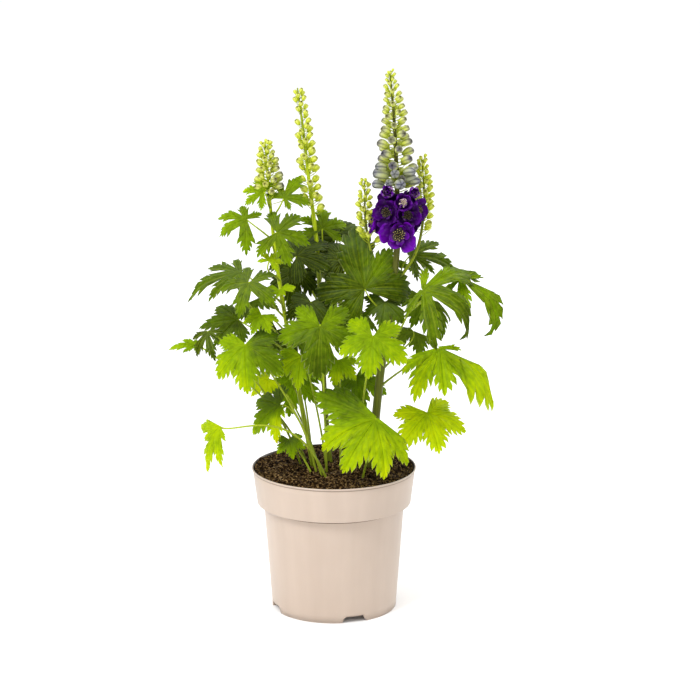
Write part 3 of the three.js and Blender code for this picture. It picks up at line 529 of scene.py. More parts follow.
def stem_skin():
    """Smooth stem skin: brownish to bright green by its tone, finely streaked along, with a soft gloss."""
    stem = Finish("stem_skin")
    streak = stem.noise(1.0, 3.0, at=stem.stretched((900, 900, 30)))
    base = stem.ramp(*stem.values("tone"), [
        (0.0, (0.07, 0.07, 0.012)),
        (0.3, (0.13, 0.15, 0.016)),
        (0.65, (0.3, 0.38, 0.016)),
        (1.0, (0.5, 0.62, 0.01)),
    ])
    shade = stem.ramp(streak, [(0.3, (0.62, 0.62, 0.62)), (0.7, (1.2, 1.2, 1.2))])
    colour = stem.blend(1.0, base, shade, "MULTIPLY")
    ridges = stem.bumps(streak, 0.25, 0.4 * MM)
    return stem.done(stem.surface(colour, 0.42, Normal=ridges, Specular_IOR_Level=0.12,
                                  Subsurface_Weight=0.1, Subsurface_Radius=(0.002, 0.003, 0.001)))


stem_look = stem_skin()

# -----------------------------------------------------------------------------------------------------------
# The leaves. Thin palmate blades on long stalks, cut towards the hub into five lobes, and each lobe into
# toothed segments; veins run from the hub and out to the teeth, and the blade is quilted between them and
# droops at its edge. Old leaves are dark, young ones and those low down in the light are yellow-green.
BLADE = 0.5 * MM
LOBES = 5
NECK_BACK = 0.05
NECK_HALF_WIDTH = 1.1 * MM
LOBE_GAP = 49  # degrees between lobes for which the edges below are drawn
WIDEST = 1.2
SEVEREST_EDGE = 0.8  # no edge point lies further out than this times its distance along the lobe
TOOTH_SLANT = 1.05
TOOTH_BULGE = 0.13
VEIN_SLANT = 1.1
FAN_SPREAD = 0.45  # sine of the angle off its lobe's midrib at which the outermost vein leaves the hub
FAN_BEND = 1.6
PANELS = 1.6  # arched panels between veins on each side of a midrib
SHARE_ACROSS = np.array([0, 0.07, 0.26, 0.5, 0.76, 1])
SHARE_TO_CUT = np.array([0, 0.34, 0.67, 1])
STALK_SIDES = 10
STALK_ARRIVAL = 26 * MM  # how long before the hub a stalk turns to come up under it
STALK_TONE = 0.42
STALK_PALER = 0.45  # how much its tone rises from its foot to the hub
WELD = 0.002 * MM  # points of a blade closer than this are one
# The relief of a blade: heights and widths in millimetres on a leaf that reaches 60 mm, then shares.
QUILT = 1.1
RIB = 0.6
RIB_WIDTH = 1.5
RIPPLE = 0.9
RIPPLE_WIDTH = 20
ROLL = 0.16
DROOP = 0.05
ARCH = 0.5

# The edge of one half lobe from the cut to the tip, as (along the lobe, out from its midrib) in lobe
# lengths: the tips of teeth and the notches between them by turns, ending in the lobe's own tip.
BROAD_EDGE = [(0.5, 0.24), (0.46, 0.19), (0.68, 0.285), (0.585, 0.165), (0.8, 0.235), (0.7, 0.135),
              (0.91, 0.15), (0.83, 0.07), (0.955, 0.07), (0.92, 0.035), (1, 0)]
PLAIN_EDGE = [(0.52, 0.235), (0.48, 0.18), (0.7, 0.26), (0.62, 0.13), (0.83, 0.165), (0.75, 0.09),
              (0.92, 0.08), (0.885, 0.045), (1, 0)]
SPLIT_EDGE = [(0.5, 0.17), (0.44, 0.1), (0.7, 0.24), (0.6, 0.1), (0.8, 0.145), (0.72, 0.075),
              (0.9, 0.105), (0.83, 0.04), (1, 0)]
SWEPT_EDGE = [(0.5, 0.24), (0.44, 0.17), (0.7, 0.32), (0.58, 0.16), (0.82, 0.23), (0.72, 0.115),
              (0.92, 0.14), (0.84, 0.06), (1, 0)]
FINGER_EDGE = [(0.4, 0.12), (0.36, 0.085), (0.58, 0.175), (0.5, 0.095), (0.74, 0.16), (0.65, 0.075),
               (0.89, 0.11), (0.81, 0.04), (1, 0)]
# Each kind of leaf: its edge, how far out its cuts begin, how steeply a lobe folds up from its midrib, and
# how strongly its veins show.
LEAF_KINDS = {
    "broad": {"edge": BROAD_EDGE, "cut": 0.42, "fold": 0.1, "veins": 0.6},
    "lobed": {"edge": BROAD_EDGE, "cut": 0.3, "fold": 0.12, "veins": 0.6},
    "plain": {"edge": PLAIN_EDGE, "cut": 0.42, "fold": 0.1, "veins": 0.6},
    "simple": {"edge": PLAIN_EDGE, "cut": 0.4, "fold": 0.1, "veins": 0.6},
    "split": {"edge": SPLIT_EDGE, "cut": 0.28, "fold": 0.16, "veins": 0.85},
    "fingered": {"edge": FINGER_EDGE, "cut": 0.2, "fold": 0.18, "veins": 1.0},
    "swept": {"edge": SWEPT_EDGE, "cut": 0.2, "fold": 0.14, "veins": 0.9},
}


def blade_axes(face, lift, spin):
    """n is the way a blade's face looks, u runs along its middle lobe and v completes them.
    face is a compass angle, lift its angle above the horizon, spin the clock angle of the middle lobe."""
    face, lift, spin = np.radians([face, lift, spin])
    n = np.array([np.cos(lift) * np.cos(face), np.cos(lift) * np.sin(face), np.sin(lift)])
    up = unit(UP - n[2] * n)
    u = up * np.cos(spin) + np.cross(up, n) * np.sin(spin)
    return n, u, np.cross(n, u)


def toothed(edge, wide):
    """A half lobe's edge points, made wider or narrower, with one more on each tooth's back, bulging out."""
    keys = np.array(edge) * (1, wide)
    keys[:, 1] = np.minimum(keys[:, 1], SEVEREST_EDGE * keys[:, 0])
    tips, notches = keys[:-1:2], keys[1::2]
    notches[:, 0] = np.maximum(notches[:, 0], tips[:, 0] - TOOTH_SLANT * (tips[:, 1] - notches[:, 1]))
    middle = (keys[:-1] + keys[1:]) / 2
    run = keys[1:] - keys[:-1]
    middle[1::2] += TOOTH_BULGE * np.stack([-run[1::2, 1], run[1::2, 0]], axis=1)
    points = np.empty((2 * len(keys) - 1, 2))
    points[0::2], points[1::2] = keys, middle
    return points


def half_lobe(edge, wide, angle, long, side, start):
    """Flat points in rows from a lobe's midrib to its edge, first to the side of the cut and then to each
    tooth. Every row runs forward at the veins' slant."""
    edge = toothed(edge, wide)
    turn = np.radians(angle)
    forward = np.array([np.cos(turn), np.sin(turn)])
    outward = side * np.array([-np.sin(turn), np.cos(turn)])
    ridge = np.maximum.accumulate(np.maximum(edge[:, 0] - VEIN_SLANT * edge[:, 1], 0.06))
    ridge[-1] = 1
    edge_points = long * (edge[:, :1] * forward + edge[:, 1:] * outward)
    ridge_points = long * ridge[:, None] * forward
    at_cut = start @ forward - VEIN_SLANT * abs(start @ outward)
    first_ridge = forward * np.clip(at_cut, 0.02 * long, 0.9 * long * ridge[0])
    whole_edge = np.concatenate([SHARE_TO_CUT[:, None] * start, edge_points])
    whole_ridge = np.concatenate([SHARE_TO_CUT[:, None] * first_ridge, ridge_points])
    return whole_ridge[:, None] + SHARE_ACROSS[:, None] * (whole_edge - whole_ridge)[:, None]


def leaf_plan(leaf):
    """The whole blade laid flat: its points, its triangles, and for each point its lobe's angle and number,
    its share of the way across the half lobe and its place in the fan of veins."""
    reach, angles, longs = leaf["reach"], leaf["angles"], leaf["reach"] * leaf["longs"]
    edge, cut = (LEAF_KINDS[leaf["kind"]][key] for key in ("edge", "cut"))
    gaps = np.minimum(np.diff(angles) / LOBE_GAP, WIDEST)
    columns = {"flat": [], "lobe": [], "across": [], "number": []}
    faces, offset = [], 0
    for i, (angle, long) in enumerate(zip(angles, longs)):
        for side in (-1, 1):
            near = i + side
            if 0 <= near < LOBES:
                middle = np.radians((angle + angles[near]) / 2)
                start = cut * min(long, longs[near]) * np.array([np.cos(middle), np.sin(middle)])
            else:
                start = np.array([-NECK_BACK * reach, side * NECK_HALF_WIDTH])
            wide = gaps[min(max(i + (side - 1) // 2, 0), LOBES - 2)]
            flat = half_lobe(edge, wide, angle, long, side, start)
            rows, width = flat.shape[:2]
            columns["flat"].append(flat.reshape(-1, 2))
            columns["across"].append(np.tile(SHARE_ACROSS, rows))
            columns["lobe"].append(np.full(rows * width, np.radians(angle)))
            columns["number"].append(np.full(rows * width, i))
            faces.append(grid_faces(rows, width, False) + offset)
            offset += rows * width
    plan = {key: np.concatenate(parts) for key, parts in columns.items()}
    r = np.hypot(*plan["flat"].T)
    aside = np.abs(np.sin(np.arctan2(plan["flat"][:, 1], plan["flat"][:, 0]) - plan["lobe"]))
    plan["fan"] = aside / FAN_SPREAD * (1 + FAN_BEND * r / reach)
    return welded(plan, halved(np.concatenate(faces)))


def welded(plan, triangles):
    """The plan with points that lie on each other made one, and its triangles turned the same way round."""
    place = np.round(plan["flat"] / WELD)
    _, first, same = np.unique(place, axis=0, return_index=True, return_inverse=True)
    triangles = same.ravel()[triangles]
    plan = {key: column[first] for key, column in plan.items()}
    a, b, c = (plan["flat"][triangles[:, k]] for k in range(3))
    area = (b[:, 0] - a[:, 0]) * (c[:, 1] - a[:, 1]) - (b[:, 1] - a[:, 1]) * (c[:, 0] - a[:, 0])
    real = np.abs(area) > 1e-12
    triangles, area = triangles[real], area[real]
    triangles[area < 0] = triangles[area < 0][:, ::-1]
    return plan, triangles


def both_sides(triangles, count):
    """The triangles of a thin closed sheet: the upper face, the lower face and a strip round its edge."""
    a, b = triangles.ravel(), np.roll(triangles, -1, axis=1).ravel()
    free = ~np.isin(b * count + a, a * count + b)
    a, b = a[free], b[free]
    strip = np.concatenate([np.stack([a, a + count, b + count], 1), np.stack([a, b + count, b], 1)])
    return np.concatenate([triangles, triangles[:, ::-1] + count, strip])


def relief(plan, reach, seed):
    """Height of the quilting over the smooth blade: veins sunk, the panels between them arched, lobes rolled
    and drooping a little differently, and a ripple that grows towards the edge."""
    flat, across, number = plan["flat"], plan["across"], plan["number"]
    r = np.hypot(*flat.T)
    off = r * np.sin(np.arctan2(flat[:, 1], flat[:, 0]) - plan["lobe"])
    rolls, droops, phases = np.array([[vary(seed + 3 * k, i + 20) for i in range(LOBES)] for k in range(3)])
    free = np.clip((r / reach - 0.3) / 0.7, 0, 1) ** 1.5
    scale = reach / 60
    panel = 0.5 - 0.5 * np.cos(2 * np.pi * PANELS * plan["fan"])
    quilt = QUILT * scale * panel * np.clip(5 * r / reach, 0, 1)
    rib = -RIB * scale * np.exp(-((off / (RIB_WIDTH * scale)) ** 2)) * (1 - 0.6 * free)
    roll = ROLL * rolls[number] * off * free
    droop = -DROOP * reach * (1 + droops[number]) * free**2
    wave = np.sin(9 * off / (RIPPLE_WIDTH * scale) + 5 * r / reach + 3 * phases[number])
    arch = -ARCH * off**2 / reach * free
    return quilt + rib + roll + droop + arch + RIPPLE * scale * wave * free * across


def bent_sheet(hub, n, out, r, curve, height, thick, folded=0.0):
    """Points of both faces of a thin sheet: distances r from the hub in the directions out are laid along
    arcs that bend it towards -n, and its height and half its thickness are added square to the arc."""
    turn = curve * r
    sides = []
    for h in (height + thick / 2, height - thick / 2):
        along = np.sin(turn) / curve + h * np.sin(turn)
        rise = folded - (1 - np.cos(turn)) / curve + h * np.cos(turn)
        sides.append(hub + out * along[..., None] + n * rise[..., None])
    return np.concatenate(sides).reshape(-1, 3)


def add_blade(batch, leaf, axes, seed, tones):
    """A blade: the plan bent down, more or less from lobe to lobe, its lobes folded up from their midribs,
    with the relief on it. tones are its greens at the hub and at the tips."""
    n, u, v = axes
    reach, kind = leaf["reach"], LEAF_KINDS[leaf["kind"]]
    plan, triangles = leaf_plan(leaf)
    r = np.hypot(*plan["flat"].T)
    heading = np.arctan2(plan["flat"][:, 1], plan["flat"][:, 0])
    out = np.cos(heading)[:, None] * u + np.sin(heading)[:, None] * v
    curve = np.interp(np.degrees(heading), leaf["angles"], leaf["bends"]) / reach
    folded = kind["fold"] * r * np.abs(np.sin(heading - plan["lobe"]))
    points = bent_sheet(leaf["hub"], n, out, r, curve, relief(plan, reach, seed), BLADE, folded)
    tip = np.clip(r / reach, 0, 1) ** 1.6
    tone = tones[0] + (tones[1] - tones[0]) * tip
    # Painted light and shade: each lobe's own change of tone makes it lighter where it lies in the light and
    # darker where other leaves shade it.
    tone += np.interp(np.degrees(heading), leaf["angles"], leaf["painted_shading"]) * np.clip(4 * r / reach, 0, 1)
    both = {"tone": tone, "fan": plan["fan"], "across": plan["across"], "reach": tip}
    batch.add(points, both_sides(triangles, len(r)), below=np.repeat([0, 1], len(r)), bold=kind["veins"],
              **{key: np.tile(value, 2) for key, value in both.items()})


def bezier(p0, p1, p2, p3, steps):
    """Points of a cubic Bezier curve."""
    t = np.linspace(0, 1, steps)[:, None]
    return (1 - t) ** 3 * p0 + 3 * (1 - t) ** 2 * t * p1 + 3 * (1 - t) * t * t * p2 + t**3 * p3


def add_leaf(blades, stalks, leaf, base, leave, rise, seed, thick, tones):
    """A leaf on its stalk. The stalk, swollen a little at both ends, leaves the base in a given direction,
    which it keeps for longer the greater its rise, and comes up under the hub."""
    axes = blade_axes(*leaf["facing"])
    n, u, _ = axes
    joint = leaf["hub"] - 0.3 * NECK_BACK * leaf["reach"] * u - 0.5 * BLADE * n
    far = np.linalg.norm(joint - base)
    arrive = min(0.35 * far, STALK_ARRIVAL)
    path = bezier(base, base + rise * far * leave, joint - arrive * (0.75 * u + 0.6 * n), joint, 22)
    share = np.linspace(0, 1, len(path))
    swollen = 1 + 0.35 * np.exp(-share / 0.06) + 0.3 * np.exp((share - 1) / 0.03)
    radius = thick * (1 - 0.42 * share) * swollen
    tone = STALK_TONE + STALK_PALER * np.repeat(np.concatenate([[0], share, [1]]), STALK_SIDES)
    stalks.add(*tube(path, radius, STALK_SIDES, top=n, ribs=0.05), tone=tone)
    add_blade(blades, leaf, axes, seed, tones)


def placed_leaf(hub, facing, reach, kind, lobes, seed):
    """A leaf in metres, from its hub, its face, lift and spin, its reach and its kind. Its lobes are given
    one by one, as angle, length, bend and, if they differ, change of tone, which paints light and shade on
    that lobe, or as two numbers, the angle of the outer ones from the middle one and the bend of all."""
    if isinstance(lobes[0], tuple):
        angles, longs, bends, painted_shading = np.array([(*lobe, 0)[:4] for lobe in lobes], float).T
    else:
        spread, bend = lobes
        turned, grown = np.array([[vary(seed, i + k) for i in range(LOBES)] for k in (0, 7)])
        angles = spread * np.linspace(-1, 1, LOBES) + 3 * turned
        longs = np.array([0.8, 0.94, 1, 0.94, 0.8]) * (1 + 0.07 * grown)
        bends, painted_shading = np.full(LOBES, bend), np.zeros(LOBES)
    return {"hub": np.array(hub) * MM, "facing": facing, "reach": reach * MM, "kind": kind,
            "angles": angles, "longs": longs, "bends": bends, "painted_shading": painted_shading}


def leaf_tissue():
    """A living leaf: green from dark to yellow by its tone, which carries some painted light and shade, and
    a little lighter between the veins, with pale veins and a pale rim, a grey-green bloom on old leaves that
    is partly a painted sheen, laid on more where the blade faces up, a duller and paler underside, and light
    that shines through the thin blade with a yellower green."""
    leaf = Finish("leaf_tissue")
    calc, spread, blend = leaf.calc, leaf.spread, leaf.blend
    names = ("tone", "below", "fan", "across", "reach", "bold")
    own_tone, below, fan, across, reach, bold = leaf.values(*names)
    cloud = leaf.noise(45.0, 4.0)
    dapple = leaf.noise(170.0, 3.0)
    wander = calc("MULTIPLY_ADD", cloud, 0.3, fan)
    hollow = calc("PINGPONG", calc("MULTIPLY", wander, PANELS), 0.5)
    shift = calc("MULTIPLY_ADD", cloud, 0.36, calc("MULTIPLY_ADD", dapple, 0.24, -0.35))
    tone = calc("ADD", own_tone, calc("MULTIPLY_ADD", calc("MULTIPLY", hollow, bold), 0.24, shift))
    greens = [
        (0.0, (0.006, 0.015, 0.001)),
        (0.2, (0.03, 0.06, 0.001)),
        (0.4, (0.1, 0.175, 0.002)),
        (0.6, (0.21, 0.33, 0.002)),
        (0.8, (0.39, 0.53, 0.001)),
        (0.95, (0.56, 0.67, 0.001)),
        (1.0, (0.67, 0.63, 0.002)),
    ]
    upper = leaf.ramp(tone, greens)
    lighter = [(at, (min(1, 2.3 * r + 0.04), min(1, 2.0 * g + 0.06), b)) for at, (r, g, b) in greens]
    lit = leaf.ramp(tone, lighter)

    def vein_lines(count, wide, strength):
        """Lines that fan out from the hub, count of them to a unit of the fan, fading from their middles."""
        return spread(calc("PINGPONG", calc("MULTIPLY", wander, count), 0.5), 0, wide, strength, 0)

    midrib = spread(across, 0, 0.05, 1, 0)
    cells = {"Vector": leaf.place, "Scale": 420.0}
    walls = leaf.node("ShaderNodeTexVoronoi", cells, feature="DISTANCE_TO_EDGE").outputs["Distance"]
    net = spread(walls, 0, 0.1, 0.3, 0)
    veins = calc("MAXIMUM", vein_lines(PANELS, 0.17, 0.75), midrib)
    veins = calc("MAXIMUM", veins, vein_lines(2.5 * PANELS, 0.26, 0.36))
    fading = calc("MULTIPLY_ADD", reach, -0.4, calc("MULTIPLY_ADD", dapple, 1.1, 0.45))
    veins = calc("MULTIPLY", calc("MAXIMUM", veins, net), fading)

    # Painted sheen: the grey-green bloom is laid on more where the blade faces up, as if it reflected the
    # bright sky.
    normal = leaf.node("ShaderNodeNewGeometry").outputs["Normal"]
    upward = leaf.node("ShaderNodeSeparateXYZ", {0: normal}).outputs[2]
    bloom_and_sheen_patch = calc("ADD", leaf.noise(16.0), calc("MULTIPLY", upward, 0.45))
    bloom = calc("MULTIPLY", spread(bloom_and_sheen_patch, 0.62, 1.15, 0, 0.62), spread(tone, 0.28, 0.5, 1, 0))
    upper = blend(bloom, upper, (0.15, 0.215, 0.1, 1))
    pale = blend(0.85, upper, (0.55, 0.7, 0.03, 1))
    top = blend(calc("MULTIPLY", veins, bold), upper, pale)
    rim = calc("MULTIPLY", calc("GREATER_THAN", across, 0.93), reach)
    top = blend(calc("MULTIPLY", rim, 0.4), top, (0.7, 0.8, 0.3, 1))
    colour = blend(below, top, blend(0.42, upper, (0.32, 0.43, 0.03, 1)))
    grain = calc("MULTIPLY_ADD", leaf.noise(900.0), 0.35, calc("MULTIPLY", veins, -0.3))
    rough = calc("MULTIPLY_ADD", below, 0.2, 0.46)
    skin = leaf.surface(colour, rough, Normal=leaf.bumps(grain, 0.5, 0.6 * MM), Specular_IOR_Level=0.04)
    return leaf.done(leaf.see_through(0.46, skin, blend(calc("MULTIPLY", veins, 0.35), lit, upper)))


leaf_look = leaf_tissue()

# Crown leaves: node, slot, hub, face, lift and spin, reach, kind, the x, y of the stalk's foot, its rise,
# the leaf's tone at its hub and at its tips, from 0, the darkest green, to 1, yellow, and its lobes.
CROWN_LEAVES = [
    ("leaf_front_low", "leaf_pale", (47, -64, 240), (-75, 49, 226), 76, "lobed", (30, -38), 0.42,
     (0.64, 0.83), ((-84, 1.05, 0.35, -0.3), (-34, 1.02, 1.25, 0.04), (4, 1.0, 0.95),
      (50, 0.97, 0.95, 0.05), (84, 0.9, 1.2))),
    ("leaf_right_low", "leaf_pale", (107, -15, 234), (-80, 55, 168), 54, "broad", (52, -13), 0.42,
     (0.78, 0.88), (116, 0.65)),
    ("leaf_front_middle", "leaf_pale", (44, -84, 341), (-92, 44, 185), 50, "broad", (24, -8), 0.42,
     (0.58, 0.76), (128, 0.7)),
    ("leaf_far_left", "leaf", (-157, 14, 308), (-89, 66, 274), 33, "plain", (-25, 20), 0.42,
     (0.5, 0.75), ((-70, 0.35, 0.4), (-32, 0.7, 0.4), (0, 1.07, 0.4), (36, 0.62, 0.6), (80, 0.35, 0.5))),
    ("leaf_left_hanging", "leaf", (-143, -20, 331), (-114, 45, 163), 39, "split", (-32, 6), 0.42,
     (0.15, 0.25), ((-88, 0.6, 1.2), (-40, 0.85, 1.2), (8, 0.95, 1.2), (46, 0.5, 1.2), (88, 0.5, 1.2))),
    ("leaf_left_bright", "leaf_pale", (-99, -58, 325), (-100, 43, 172), 54, "lobed", (-8, -37), 0.42,
     (0.6, 0.76), ((-112, 0.68, 0.9), (-52, 1.0, 0.9), (-2, 1.08, 0.9), (56, 1.08, 0.9, -0.28),
      (114, 0.8, 0.7, -0.3))),
    ("leaf_centre_large", "leaf", (-15, -63, 348), (-88, 34, 184), 56, "broad", (-8, -24), 0.42,
     (0.46, 0.47), ((-130, 0.68, 0.5, 0.06), (-76, 0.98, 0.7), (0, 1.15, 0.8, -0.16),
      (66, 0.92, 0.8, -0.06), (130, 0.75, 0.5, 0.04))),
    ("leaf_centre_under", "leaf", (-37, -24, 304), (-93, 47, 185), 42, "plain", (-6, -15), 0.42,
     (0.62, 0.75), (105, 0.9)),
    ("leaf_centre_small", "leaf_pale", (5, -10, 295), (-88, 48, 190), 34, "plain", (8, -17), 0.42,
     (0.62, 0.76), (112, 0.9)),
    ("leaf_left_folded", "leaf", (-62, -25, 246), (-115, 44, 218), 52, "plain", (-16, -25), 0.42,
     (0.4, 0.66), ((-125, 0.62, 0.5, -0.14), (-66, 0.85, 0.9, -0.12), (-8, 1.0, 0.9, 0.02),
      (44, 0.88, 0.9, 0.4), (76, 0.35, 0.9, 0.4))),
    ("leaf_left_yellow", "leaf_pale", (-76, 36, 261), (-101, 54, 228), 29, "plain", (-13, 1), 0.42,
     (0.8, 0.94), (100, 0.9)),
    ("leaf_left_trailing", "leaf_pale", (-128, -58, 229), (-140, 32, 262), 50, "plain", (0, -46), 0.84,
     (0.72, 0.9), ((-2, 1.05, 0.5), (28, 0.7, 0.7), (66, 1.18, 0.7), (100, 0.95, 0.7), (132, 0.4, 0.7))),
    ("leaf_soil_small", "leaf", (-51, -26, 206), (-93, 49, 168), 24, "plain", (-17, -34), 0.42,
     (0.4, 0.75), (112, 0.9)),
    ("leaf_back_right", "leaf", (26, 62, 258), (-85, 42, 172), 46, "simple", (18, 36), 0.42,
     (0.4, 0.5), (120, 0.9)),
    ("leaf_back_left", "leaf", (-44, 62, 256), (-95, 44, 192), 46, "simple", (-24, 34), 0.42,
     (0.45, 0.6), (120, 0.9)),
]
STALK_DEPTH = 26 * MM
CROWN_STALK_R = 1.45 * MM
STALK_LEAN = 0.35  # how far a stalk leans towards its leaf where it leaves the soil

for seed, (node, slot, hub, facing, reach, kind, foot, rise, tones, lobes) in enumerate(CROWN_LEAVES):
    leaf = placed_leaf(hub, facing, reach, kind, lobes, seed)
    foot_x, foot_y = np.array(foot) * MM
    base = np.array([foot_x, foot_y, soil_top(foot_x, foot_y) - STALK_DEPTH])
    lean = STALK_LEAN * unit(leaf["hub"] - base)
    leave = unit(np.array([lean[0], lean[1], 1]))
    blades, stalks = Batch(), Batch()
    add_leaf(blades, stalks, leaf, base, leave, rise, seed, CROWN_STALK_R, tones)
    blades.piece(node + "_blade", slot, leaf_look, [node])
    stalks.piece(node + "_stalk", slot, stem_look, [node])

# Leaves on the stems: their height on the stem, hub, face, lift and spin, reach, kind, tones and lobes.
STEM_LEAVES = {
    "right": [
        (262, (121, -22, 312), (-105, 64, 118), 84, "swept", (0.6, 0.82),
         ((-118, 0.65, 1.1), (-82, 0.88, 1.1), (-47, 0.75, 1.1), (10, 1.32, 1.3), (44, 0.3, 1.5))),
        (343, (35, -22, 382), (-96, 26, 335), 68, "broad", (0.26, 0.24),
         ((-106, 1.15, 1.3), (-54, 0.93, 0.5, 0.18), (-12, 1.36, 0.5, 0.02), (66, 1.0, 0.8, -0.12),
          (122, 0.75, 1.0, 0.02))),
        (305, (101, -40, 384), (-110, 58, 112), 76, "fingered", (0.42, 0.22),
         ((-88, 0.5, 1.0), (-44, 1.0, 1.1), (22, 1.4, 1.7), (86, 1.4, 0.65, 0.12), (126, 0.56, 0.4, 0.26))),
        (335, (144, 8, 386), (-118, 70, 112), 86, "fingered", (0.46, 0.42),
         ((-85, 0.35, 1.5), (-36, 0.6, 1.4, 0.1), (15, 1.25, 2.05), (62, 0.34, 1.2), (98, 0.3, 1.0))),
        (368, (88, 26, 410), (-90, 62, 70), 62, "split", (0.25, 0.3),
         ((-98, 0.6, 0.9), (-58, 0.6, 0.9), (-15, 1.12, 0.9), (28, 0.85, 0.5), (75, 0.5, 0.6))),
        (280, (91, 30, 320), (60, 56, 120), 46, "simple", (0.3, 0.4), (110, 0.9)),
        (322, (58, -12, 364), (-88, 46, 190), 36, "plain", (0.3, 0.35), (110, 0.9)),
        (378, (58, 62, 396), (100, 56, 150), 48, "simple", (0.3, 0.35), (110, 0.9)),
        (317, (106, 74, 349), (50, 51, 140), 60, "simple", (0.3, 0.4), (110, 1.0)),
    ],
    "middle": [
        (378, (2, 62, 424), (-85, 50, 340), 56, "broad", (0.06, 0.12), (112, 0.9)),
        (350, (-42, 58, 384), (-100, 50, 190), 48, "plain", (0.08, 0.1), (112, 0.9)),
        (335, (10, 14, 407), (-80, 48, -15), 46, "broad", (0.05, 0.16), (132, 0.8)),
        (289, (8, 84, 335), (80, 54, 190), 58, "simple", (0.25, 0.35), (118, 1.0)),
        (254, (-42, 84, 300), (120, 54, 170), 54, "simple", (0.3, 0.4), (118, 1.0)),
        (394, (-42, 10, 413), (-110, 50, 30), 48, "broad", (0.06, 0.16), (138, 0.8)),
        (318, (-26, -6, 362), (-92, 46, 190), 40, "broad", (0.1, 0.18), (112, 0.9)),
        (402, (-13, 35, 440), (-80, 42, 10), 40, "split", (0.36, 0.66), (112, 0.8)),
    ],
    "left": [
        (432, (-99, 2, 457), (-89, 49, 292), 37, "split", (0.44, 0.56),
         ((-125, 0.6, 0.6), (-55, 0.7, 0.6), (0, 1.12, 0.7), (38, 1.15, 0.9), (112, 1.2, 0.9))),
        (470, (-79, -12, 491), (-86, 41, 291), 28, "split", (0.58, 0.68), (100, 0.8)),
        (458, (-56, -12, 484), (-94, 38, 29), 34, "split", (0.43, 0.54),
         ((-120, 0.5, 0.7), (-62, 1.0, 0.75), (4, 1.3, 0.5), (48, 0.75, 0.6), (100, 0.7, 0.6))),
        (409, (-63, -30, 448), (-95, 39, 100), 45, "split", (0.35, 0.5), (118, 0.7)),
        (358, (-95, -46, 394), (-102, 48, 194), 44, "split", (0.3, 0.45), (145, 0.9)),
        (343, (-107, 4, 395), (-115, 66, 240), 73, "split", (0.28, 0.35),
         ((-86, 0.5, 0.5), (-48, 0.78, 0.55), (-12, 1.1, 0.75), (30, 0.7, 0.8), (80, 0.4, 0.8))),
        (296, (-111, 24, 335), (-88, 60, 272), 48, "plain", (0.25, 0.4), (105, 0.6)),
        (323, (-81, -44, 356), (-95, 51, 205), 28, "plain", (0.6, 0.72), (105, 0.8)),
        (351, (-61, -42, 385), (-83, 48, 185), 20, "plain", (0.62, 0.72),
         ((-110, 0.8, 0.6), (-60, 1.0, 0.7), (-15, 0.55, 0.7), (50, 0.5, 0.7), (115, 1.1, 0.4))),
        (386, (-72, -36, 417), (-90, 51, 30), 20, "split", (0.7, 0.78), (110, 0.6)),
        (305, (-100, 56, 347), (140, 56, 220), 50, "simple", (0.3, 0.4), (110, 0.9)),
        (248, (-66, 40, 318), (-95, 45, 195), 42, "simple", (0.15, 0.25), (112, 0.9)),
    ],
}
STEM_SEEDS = {"right": 20, "middle": 40, "left": 60}
STEM_STALK_R = 1.25 * MM
STEM_LEAF_RISE = 0.42


def direction_at(axis, height):
    """The unit direction in which a stem grows at a height."""
    low, high = axis_at(axis, [height - 2, height + 2])
    return unit(high - low)


for side, axis in STEM_AXES.items():
    blades, skin = Batch(), Batch()
    stem_tube(skin, axis, STEM_RADII[side], STEM_TONES[side], STEM_STEPS)
    for seed, row in enumerate(STEM_LEAVES[side], STEM_SEEDS[side]):
        height, hub, facing, reach, kind, tones, lobes = row
        leaf = placed_leaf(hub, facing, reach, kind, lobes, seed)
        base = axis_at(axis, height)[0]
        away = leaf["hub"] / MM - base
        outward = unit(np.array([away[0], away[1], 0]))
        leave = unit(direction_at(axis, height) + outward)
        add_leaf(blades, skin, leaf, base * MM, leave, STEM_LEAF_RISE, seed, STEM_STALK_R, tones)
    if side == "right":
        for shoot in SHOOT_AXES:
            stem_tube(skin, shoot, SHOOT_RADII, SHOOT_TONES, SHOOT_STEPS)
    blades.piece(f"stem_{side}_leaves", "stem", leaf_look, [f"stem_{side}"])
    skin.piece(f"stem_{side}_shoot", "stem", stem_look, [f"stem_{side}"])

# -----------------------------------------------------------------------------------------------------------
# The buds. Each is a pod of five closed sepals on a thin stalk that rises from the stem, with a spur behind
# and a narrow bract below; they wind up the spike by the golden angle, smaller and greener towards its tip.
GOLDEN_ANGLE = 137.508
# Each spike: the stem that bears it, its axis, the heights of its lowest and highest bud, how many places
# for buds it has, the length of their stalks, their own length and width, the size of the top one as a share
# of the lowest, the angle of the first, how steeply they rise, how lilac they are, how much longer the
# lowest bracts are, how much more lilac its lower buds on the right side are, and the draw past which a
# place is empty.
SPIKE_COLUMNS = ("stem", "axis", "low", "high", "places", "stalk", "long", "wide", "top", "turn", "rise",
                 "lilac", "bract", "right_lilac", "filled")
BUD_SPIKES = [dict(zip(SPIKE_COLUMNS, row)) for row in (
    ("right", STEM_AXES["right"], 490, 622, 64, 7.5, 16.5, 11, 0.3, 20, 0.42, 1.0, 0, 0, 1),
    ("middle", STEM_AXES["middle"], 447, 594, 64, 4.6, 11.5, 8.6, 0.6, 60, 0.9, 0.0, 0.9, 0, 0.55),
    ("left", STEM_AXES["left"], 478, 540, 46, 7, 12, 8.6, 0.5, 10, 0.6, 0.15, 1.6, 0.9, 1),
    ("right", SHOOT_AXES[0], 425, 496, 34, 5, 10.5, 8, 0.5, 0, 0.8, 0.0, 0.8, 0, 1),
    ("right", SHOOT_AXES[1], 436, 520, 48, 5, 10.5, 8, 0.5, 40, 0.8, 0.0, 0.8, 0, 1),
)]
